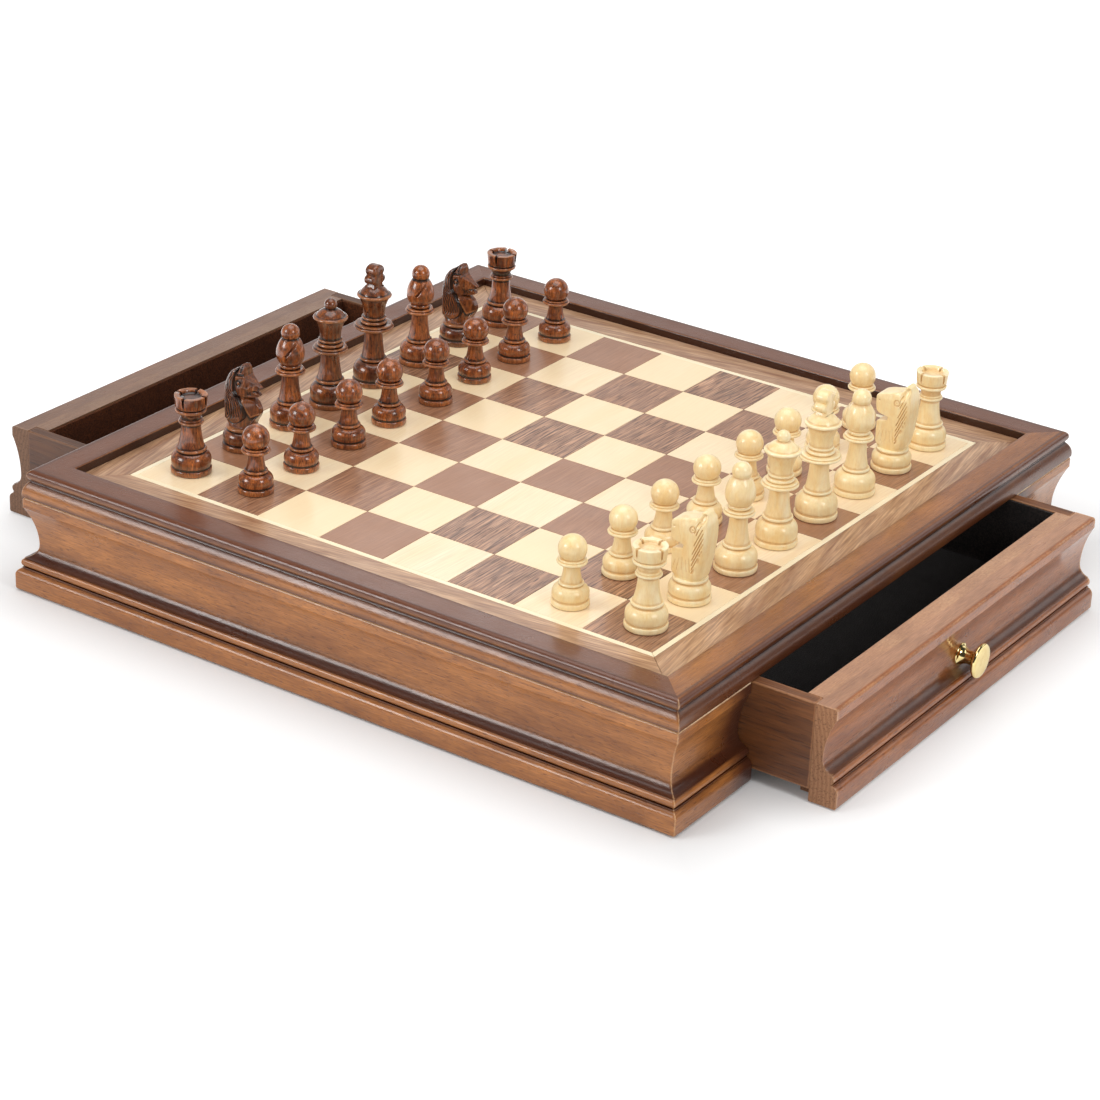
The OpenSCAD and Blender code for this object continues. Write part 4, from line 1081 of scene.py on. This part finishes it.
def rook_mesh(finish):
    members, top = body(10.1, 8.5, 7.6, 4.8, 12.4, 6.2)
    bead_z = top + 3.5
    tower_z = bead_z + 2.3
    tower_top = tower_z + 6.4
    members += [hollow(6.75, 4.8, top, bead_z, False), bead(7.7, bead_z, bead_z + 1.9),
                band(6.8, bead_z, tower_z + 0.1)]
    line = [p for p in members_outline(members, tower_z + 0.05) if p[0] > 1][:-1]
    line += [(7.25, tower_z + 0.1), (7.55, tower_z + 0.4), (7.65, tower_z + 0.9)]
    cuts = [(angle, dice.uniform(-0.5, 0.5) * 0.2, 4.0 + dice.uniform(-0.3, 0.5)) for angle in (0, 90, 180, 270)]
    beside_cut = (-8.2, -6.6, -5.6, -4.4, -2.2, -1.0, 1.0, 2.2, 4.4, 5.6, 6.6, 8.2)
    angles = [k * 3.75 for k in range(96)] + [cut_at + d for cut_at, _, _ in cuts for d in beside_cut]
    angles = sorted({round(angle % 360, 3) for angle in angles})

    def notch(angle, radius):
        """How far the saw cuts have taken the rim down at this angle."""
        deepest = 0.0
        for cut_at, lean, depth in cuts:
            off = (angle - cut_at + 180) % 360 - 180
            if abs(off) < 40:
                across = abs(around(radius, off)[1] + lean)
                deepest = max(deepest, min(depth, (0.78 - across) * 8.0))
        return deepest

    shape = Shape()
    rings = [[shape.add((*around(radius, angle), height), value) for angle in angles]
             for (radius, height), value in zip(line, edge_marks(line, 1.5))]
    for radius, up, value in ((7.8, 2.6, 0.0), (7.95, 4.2, 0.1), (8.1, 5.7, 0.2), (8.05, 6.2, 0.9), (7.75, 6.4, 1.0),
                              (6.0, 6.35, 0.4), (5.55, 6.15, 0.9), (5.3, 5.6, 0.2), (5.1, 5.0, -0.6),
                              (4.7, 4.75, -1.0), (3.0, 4.7, -0.4)):
        ring = []
        for angle in angles:
            ceiling = tower_top - (notch(angle, radius) if radius > 4.9 else 0)
            z = tower_z + up
            ring.append(shape.add((*around(radius, angle), min(z, ceiling)), -1.0 if z > ceiling + 0.05 else value))
        rings.append(ring)
    shape.rings(rings)
    shape.fan(rings[-1], (0, 0, tower_z + 4.9), -0.2)
    shape.fan(rings[0][::-1], (0, 0, 0))
    return shape.mesh("rook", [finish])


def bishop_mesh(finish):
    members, top = body(10.4, 9.0, 6.8, 4.2, 14.6, 7.6)
    wide, throat_r, tip_r, taper_h, ball_r = 7.2, 5.4, 4.0, 8.8, 4.7
    throat_z = top + 2.6
    full_z = throat_z + math.sqrt(wide ** 2 - throat_r ** 2)
    tip_z = full_z + taper_h
    side = ((wide - tip_r) ** 2 + taper_h ** 2) / (2 * (wide - tip_r))
    ball_z = tip_z + math.sqrt(ball_r ** 2 - 4.1 ** 2)

    def mitre(z):
        if throat_z <= z <= full_z:
            return math.sqrt(wide ** 2 - (full_z - z) ** 2)
        if full_z < z <= tip_z:
            return wide - side + math.sqrt(side ** 2 - (z - full_z) ** 2)
        return ball(ball_r, ball_z)(z) if z > tip_z else 0.0

    members += [bead(throat_r, top, throat_z), band(4.4, top, throat_z + 0.3), mitre]
    return saw_slit(turned(members_outline(members, ball_z + ball_r)).mesh("bishop", [finish]), wide, full_z + 4.4)


def saw_slit(mesh, radius, height):
    """Cuts the sloping slit into a mitre with a thin blade."""
    blade = Shape()
    half_l, half_w, deep = 5.2, 0.60, 2.6
    slope, azimuth = math.radians(50), math.radians(-45)
    ends = []
    for out in (radius - deep, radius + deep):
        ends.append([])
        for along, across in ((-half_l, -half_w), (half_l, -half_w), (half_l, half_w), (-half_l, half_w)):
            y = along * math.cos(slope) - across * math.sin(slope)
            z = along * math.sin(slope) + across * math.cos(slope)
            ends[-1].append(blade.add((out * math.cos(azimuth) - y * math.sin(azimuth),
                                       out * math.sin(azimuth) + y * math.cos(azimuth), z + height), -1.0))
    blade.tube(ends)
    tool = bpy.data.objects.new("blade", blade.mesh("blade", [mesh.materials[0]]))
    work = bpy.data.objects.new("mitre", mesh)
    for helper in (tool, work):
        scene.collection.objects.link(helper)
    saw = work.modifiers.new("slit", "BOOLEAN")
    saw.operation = "DIFFERENCE"
    saw.object = tool
    saw.solver = "EXACT"
    bpy.context.view_layer.update()
    done = bpy.data.meshes.new_from_object(work.evaluated_get(bpy.context.evaluated_depsgraph_get()))
    done.name = "bishop slit"
    for helper in (tool, work):
        bpy.data.objects.remove(helper)
    return done


# ---- The knights, carved from a turned base ----

def to_line(x, z, a, b):
    """Distance to a stroke from a to b."""
    dx, dz = b[0] - a[0], b[1] - a[1]
    t = min(max(((x - a[0]) * dx + (z - a[1]) * dz) / (dx * dx + dz * dz), 0), 1)
    return math.hypot(x - a[0] - dx * t, z - a[1] - dz * t)


def dip(distance, width):
    return math.exp(-(distance / width) ** 2)


def engraved(x, z, cuts):
    """The depth and tone of cuts at a point. A cut is a stroke or a dot, how far beside that it lies, its depth and
    width, and its tone and the width of that. A dark tone is stain and painted shade, a pale one partly painted
    highlight."""
    depth = tone = 0.0
    for path, off, deep, deep_width, shown, shown_width in cuts:
        away = (to_line(x, z, *path) if isinstance(path[0], tuple) else math.dist((x, z), path)) - off
        depth += deep * dip(away, deep_width)
        tone += shown * dip(away, shown_width)
    return depth, tone


def straight(table, x):
    """Value at x of a table of (x, value) joined by straight lines."""
    if x <= table[0][0]:
        return table[0][1]
    for (x0, v0), (x1, v1) in zip(table, table[1:]):
        if x <= x1:
            return v0 + (v1 - v0) * (x - x0) / (x1 - x0)
    return table[-1][1]


def beside(x, z, a, b):
    """Distance of a point to the right of a line that runs from a to b."""
    dx, dz = b[0] - a[0], b[1] - a[1]
    return ((x - a[0]) * -dz + (z - a[1]) * dx) / -math.hypot(dx, dz)


DARK_CUTS = [((0.8, 35.2), 1.35, 0.50, 0.38, -1.3, 0.42), ((0.8, 35.2), 0, 0.0, 1.0, 0.9, 0.6),
             ((0.8, 35.2), 0, -0.30, 0.7, 0.0, 1.0), ((11.0, 33.6), 0, 0.5, 0.5, -1.0, 0.55)]
DARK_CUTS += [((a, b), 0, deep, 0.40, shown, 0.42) for a, b, deep, shown in (
    ((-0.9, 37.9), (4.6, 38.9), -0.30, 0.7), ((-0.6, 39.2), (4.2, 39.9), 0.60, -1.5),
    ((-0.9, 40.4), (0.6, 43.8), 1.10, -1.6), ((1.6, 41.0), (2.2, 43.6), 0.35, -1.0),
    ((4.4, 37.6), (3.0, 33.6), -0.12, 0.6), ((7.2, 34.6), (5.2, 32.6), -0.10, 0.5),
    ((3.0, 33.6), (5.2, 32.6), -0.10, 0.5), ((8.8, 35.0), (7.6, 32.6), -0.12, 0.8),
    ((12.0, 31.9), (8.4, 31.9), 0.90, -1.6), ((12.0, 33.0), (8.4, 32.8), -0.12, 0.9),
    ((8.6, 31.0), (11.6, 30.9), -0.10, 0.8), ((3.0, 29.2), (10.6, 29.5), -0.05, 0.5),
    ((5.4, 31.2), (5.8, 29.6), 0.20, -0.6), ((6.6, 31.2), (7.0, 29.6), 0.20, -0.6))]


def carve_dark(x, z):
    """Depth of the cuts on a dark horse's flank, in millimetres, and how dark or pale they are painted: dark as stain
    and painted shade, pale on the mane's ridges and along the chest plate's edge as painted highlight.
    """
    depth, tone = engraved(x, z, DARK_CUTS)
    over, inside = in_mane(x, z)
    if inside > 0:
        grooved = min(1.0, inside) * min(1.0, max(0.12, (z - 17.5 + 0.5 * over) / 5))
        wave = math.cos(2 * math.pi * (over + 0.45 * math.sin(z * 0.52) + 0.2 * math.sin(z * 1.3 + over)) / 1.45)
        depth += (0.18 - 0.24 * wave) * grooved
        tone += (0.85 * wave - 0.35) * grooved
    rim = dip(inside + 0.3, 0.45)
    depth += 0.20 * rim
    tone -= 0.9 * rim
    if z < 27.4:
        plate = min(beside(x, z, (7.4, 18.1), (2.2, 26.4)), beside(x, z, (12.6, 20.8), (7.4, 18.1)))
        depth += 0.55 * (1 - min(max(plate / 0.5 + 0.5, 0), 1))
        tone += 1.3 * dip(plate - 0.5, 0.45) - 1.3 * dip(plate + 0.5, 0.5)
    return depth, tone


def in_mane(x, z):
    """How far across the mane a point lies, and how far inside its border it is."""
    border = between([(13.0, -3.0), (14.2, 0.0), (16.0, 2.8), (18.5, 4.5), (22.0, 4.3), (25.8, 2.5), (31.6, -1.6),
                      (36.0, -2.0), (39.0, -1.5), (41.5, -0.8), (46.0, 0.4)], z)
    inside = border - x
    if z < 19.4:
        inside = min(inside, 5.6 - math.hypot(x + 1.1, z - 19.4))
    return border - x, inside


LIGHT_CUTS = [((-3.3, 37.2), 1.45, 0.40, 0.30, -1.4, 0.36), ((-3.3, 37.2), 0, 0.25, 0.35, -0.8, 0.4),
              ((6.6, 36.4), 0, 0.35, 0.5, -0.8, 0.5), (((2.0, 31.2), (7.6, 31.8)), 0, 0.0, 1.0, 0.4, 0.4)]
LIGHT_CUTS += [(path, *kind) for path in (
    ((-5.9, 41.4), (-4.9, 38.6)), ((-7.2, 40.0), (-5.2, 35.2)), ((-8.2, 38.6), (-4.6, 30.0)),
    ((-8.8, 37.0), (-4.0, 25.6)), ((-9.0, 34.6), (-3.9, 22.6)), ((-9.0, 31.8), (-3.8, 19.9)),
    ((-8.6, 28.4), (-3.9, 17.6)), ((-7.6, 24.6), (-3.9, 16.0)))
    for kind in ((0, 0.45, 0.20, -1.5, 0.22), (0.45, -0.15, 0.22, 0.5, 0.22))]
LIGHT_CUTS += [(path, 0, 0.16, 0.22, -0.4, 0.24) for path in (
    ((2.9, 21.7), (3.9, 15.4)), ((1.2, 22.7), (1.3, 16.2)), ((-0.5, 21.7), (-1.4, 16.0)),
    ((-2.0, 23.2), (-3.2, 16.1)), ((4.8, 20.6), (6.0, 15.8)))]


def carve_light(x, z):
    """The light horse has a flat flank with a ring for an eye and long slanting cuts like a feather."""
    depth, tone = engraved(x, z, LIGHT_CUTS)
    # The ear's hollow is painted a little dark inside, painted shade, and pale round its rim, a painted highlight.
    along, across = (x + 7.4) * -0.40 + (z - 42.6) * 0.92, (x + 7.4) * 0.92 + (z - 42.6) * 0.40
    leaf = math.hypot(along / 3.6, across / 1.5)
    depth += 1.0 * dip(max(leaf - 0.35, 0), 0.5) - 0.35 * dip(leaf - 1.2, 0.25)
    tone += 0.8 * dip(leaf - 1.25, 0.25) - 0.35 * dip(leaf - 0.6, 0.3)
    return depth, tone


def dark_half(x, z):
    """Half the dark horse's thickness: the mane stands proud of the face, and the chest narrows to its front."""
    mane = between([(11.6, 5.6), (13.5, 6.2), (16, 6.5), (31, 6.4), (36, 5.9), (40, 5.0), (43, 3.7), (46, 2.2)], z)
    body = between([(11.6, 6.3), (13.5, 5.9), (18, 5.9), (22, 5.5), (25.6, 4.9), (27.2, 4.0), (28.3, 4.2), (29.2, 4.5),
                    (34, 4.6), (37, 4.5), (40, 4.0), (42, 3.4), (46, 2.0)], z)
    if z > 28:
        body *= straight([(2.6, 1.0), (6.4, 0.60), (9.0, 0.36), (12.4, 0.26)], x)
    elif z > 12.4:
        body *= straight([(3.0, 1.0), (12.4, 0.16)], x)
    _, inside = in_mane(x, z)
    t = min(max(inside / 0.55 + 0.5, 0), 1)
    return body + (mane - body) * t * t * (3 - 2 * t)


def light_half(x, z):
    half = between([(11.6, 6.2), (14, 6.4), (30, 6.4), (37, 6.2), (40, 5.7), (43, 4.6), (45, 3.4)], z)
    return half * (1 - 0.12 * min(max((x - 4) / 5, 0), 1))


DARK_HORSE = {
    "back": [(11.6, -6.4), (13.5, -6.9), (16, -7.5), (24, -7.8), (30, -7.6), (36, -6.7), (38.5, -5.7), (40.2, -4.4),
             (41.4, -3.0), (42.2, -1.6), (43.0, -0.4), (44.0, 0.6), (44.9, 1.4)],
    "front": [(11.6, 6.4), (13.5, 6.8), (15.5, 8.0), (18.0, 9.9), (20.0, 11.4), (21.6, 12.1), (23.0, 12.0),
              (25.0, 10.6), (26.6, 8.9), (27.3, 7.0), (27.7, 5.0), (28.1, 3.4), (28.5, 5.0), (28.9, 8.4), (29.6, 10.8),
              (30.4, 11.5), (31.1, 10.9), (31.6, 9.2), (32.2, 9.0), (32.8, 10.6), (33.5, 12.0), (34.2, 12.3),
              (34.9, 11.2), (35.9, 9.0), (37.0, 6.7), (38.0, 4.7), (38.6, 3.8), (39.4, 3.5), (42.6, 3.8), (43.8, 3.6),
              (44.9, 2.6)],
    "corner": [(11.6, 4.5), (15, 2.6), (30, 2.4), (38, 2.6), (44.9, 1.2)],
    "nose": [(11.6, 4.5), (14, 0.9), (26, 0.8), (29, 0.8), (38, 0.9), (44.9, 0.9)],
    "half": dark_half, "top": 44.9, "carve": carve_dark, "ears": True,
}
LIGHT_HORSE = {
    "back": [(11.6, -7.0), (14, -8.2), (20, -9.2), (30, -9.8), (36, -10.0), (39.5, -9.9), (42.0, -9.6), (43.6, -9.1),
             (45.2, -8.4), (46.6, -7.4)],
    "front": [(11.6, 7.0), (14, 7.8), (20, 7.7), (24.6, 7.5), (26.0, 6.4), (26.5, 4.0), (27.0, 1.8), (28.7, 1.5),
              (29.4, 3.8), (29.9, 6.8), (31.0, 8.2), (34, 8.8), (37.6, 9.0), (39.0, 8.2), (40.2, 5.4), (41.2, 1.6),
              (42.0, -1.6), (42.8, -4.2), (43.4, -5.0), (45.2, -5.8), (46.6, -6.6)],
    "corner": [(11.6, 4.8), (16, 4.6), (24, 3.0), (32, 1.8), (40, 1.5), (46.6, 0.5)],
    "nose": [(11.6, 4.8), (15, 2.6), (28, 1.4), (38, 1.7), (46.6, 0.3)],
    "half": light_half, "top": 46.6, "carve": carve_light, "ears": False,
}


def slice_of(horse, z, close):
    """Half a horizontal slice of a horse from its back to its nose, as (x, y, how much of the flank it is)."""
    flank, bend, flat = 96, 7, 6
    back, front = between(horse["back"], z), between(horse["front"], z)
    middle = (back + front) / 2
    back, front = middle + (back - middle) * close, middle + (front - middle) * close

    def half(x):
        return horse["half"](x, z) * close

    tail = min(between(horse["corner"], z), (front - back) * 0.45, half(back) * 0.95)
    nose = min(between(horse["nose"], z), (front - back) * 0.3, half(front) * 0.9)
    tail_y, nose_y = half(back + tail) - tail, half(front - nose) - nose
    bends = [(math.sin(math.pi / 2 * k / bend), math.cos(math.pi / 2 * k / bend), k / bend) for k in range(bend + 1)]
    line = [(back, tail_y * k / flat, 0.0) for k in range(flat)]
    line += [(back + tail - tail * cos, tail_y + tail * sin, t) for sin, cos, t in bends[:-1]]
    for k in range(flank + 1):
        x = back + tail + (front - nose - back - tail) * k / flank
        line.append((x, half(x), 1.0))
    line += [(front - nose + nose * sin, nose_y + nose * cos, 1 - t) for sin, cos, t in bends[1:]]
    return line + [(front, nose_y * (1 - k / flat), 0.0) for k in range(1, flat + 1)]


def knight_mesh(name, horse, finish):
    """A turned base with the horse carved above it, cut slice by slice and mirrored for the far side."""
    shape = turned(members_outline(base(10.2, 7.2, 8.3), 11.8))
    slices, rounded = 176, 1.1
    z0, z1 = 11.55, horse["top"]
    rings = []
    for k in range(slices + 1):
        z = z0 + (z1 - z0) * k / slices
        close = 1.0 if z < z1 - rounded else math.sqrt(max(1 - ((z - z1 + rounded) / rounded) ** 2, 0.03))
        carved = []
        for x, y, flank in slice_of(horse, z, close):
            depth, tone = horse["carve"](x, z)
            share = flank * close
            carved.append((x, max(y - depth * share, 0.0), max(-1.0, min(1.0, tone * share))))
        near = [shape.add((x, -y, z), tone) for x, y, tone in carved]
        rings.append(near + [shape.add((x, y, z), tone) for x, y, tone in reversed(carved[1:-1])])
    shape.tube(rings)
    if horse["ears"]:
        ear(shape, -1)
        ear(shape, 1)
    return shape.mesh(name, [finish], 50)


def ear(shape, side):
    """A leaf-shaped ear with a cut down its outer side, leaning forward; it is marked a little pale, partly a painted
    highlight, and dark in its cut, stain and painted shade.
    """
    rows, columns, lean = 16, 28, math.radians(16)
    rings = []
    for row in range(rows + 1):
        t = row / rows
        ring = []
        for column in range(columns):
            angle = 2 * math.pi * column / columns
            width = math.sin(math.pi * t) * (1 - 0.40 * t)
            x, y, z = 1.3 * width * math.cos(angle), 1.1 * width * math.sin(angle), -2.5 * math.cos(math.pi * t)
            cut_in = dip(x, 1.3 * 0.45) if math.sin(angle) * side > 0 and 0.12 < t < 0.88 else 0.0
            ring.append(shape.add((2.3 + x * math.cos(lean) + z * math.sin(lean), side * (1.7 - 0.7 * cut_in) + y,
                                   42.4 - x * math.sin(lean) + z * math.cos(lean)), 0.3 - 0.9 * cut_in))
        rings.append(ring)
    shape.rings(rings)


def build_men():
    tones = {"dark_rook_1": 0.82, "dark_knight_1": 0.55, "dark_bishop_1": 0.9, "dark_queen": 0.6, "dark_king": 0.62,
             "dark_bishop_2": 0.95, "dark_knight_2": 0.6, "dark_rook_2": 0.9}
    knight_foot = 0.0102
    for colour, finish, horse, facing, palest, rook_turn in (("dark", DARK_MAN, DARK_HORSE, 0, 0.85, 11),
                                                             ("light", LIGHT_MAN, LIGHT_HORSE, 180, 0.9, -16)):
        kinds = {"pawn": pawn_mesh(finish), "rook": rook_mesh(finish), "bishop": bishop_mesh(finish),
                 "queen": queen_mesh(finish), "king": king_mesh(finish),
                 "knight": knight_mesh(colour + " knight", horse, finish)}
        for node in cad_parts:
            side, kind = node.split("_")[:2]
            if side != colour or kind not in kinds:
                continue
            low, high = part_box(node)
            x, y = (low.x + high.x) / 2, (low.y + high.y) / 2
            if kind == "knight":
                x = low.x + knight_foot if colour == "dark" else high.x - knight_foot
            tone = tones.get(node, dice.uniform(palest, 1.0))
            place(node + "_turned", kinds[kind], node, node, (x / MM, y / MM, MAN_Z),
                  facing + (rook_turn if kind == "rook" else 0), tone, colour + "_man_wood")


# ---- Finishes of the hidden boards, which keep their own solids ----

def dress(node, finish):
    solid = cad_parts[node]
    if not solid.material_slots:
        solid.data.materials.append(finish)
    for holder in solid.material_slots:
        holder.material = finish


set_camera()
lay_floor()
light_world()
build_walls()
build_board()
build_drawers()
build_men()
for panel in ("bottom_panel", "drawer_guides", "centre_partition", "board_core", "right_drawer_bottom",
              "left_drawer_bottom"):
    dress(panel, PANEL_WOOD)
for screw in ("right_knob_screw", "left_knob_screw"):
    dress(screw, STEEL)
set_lights()
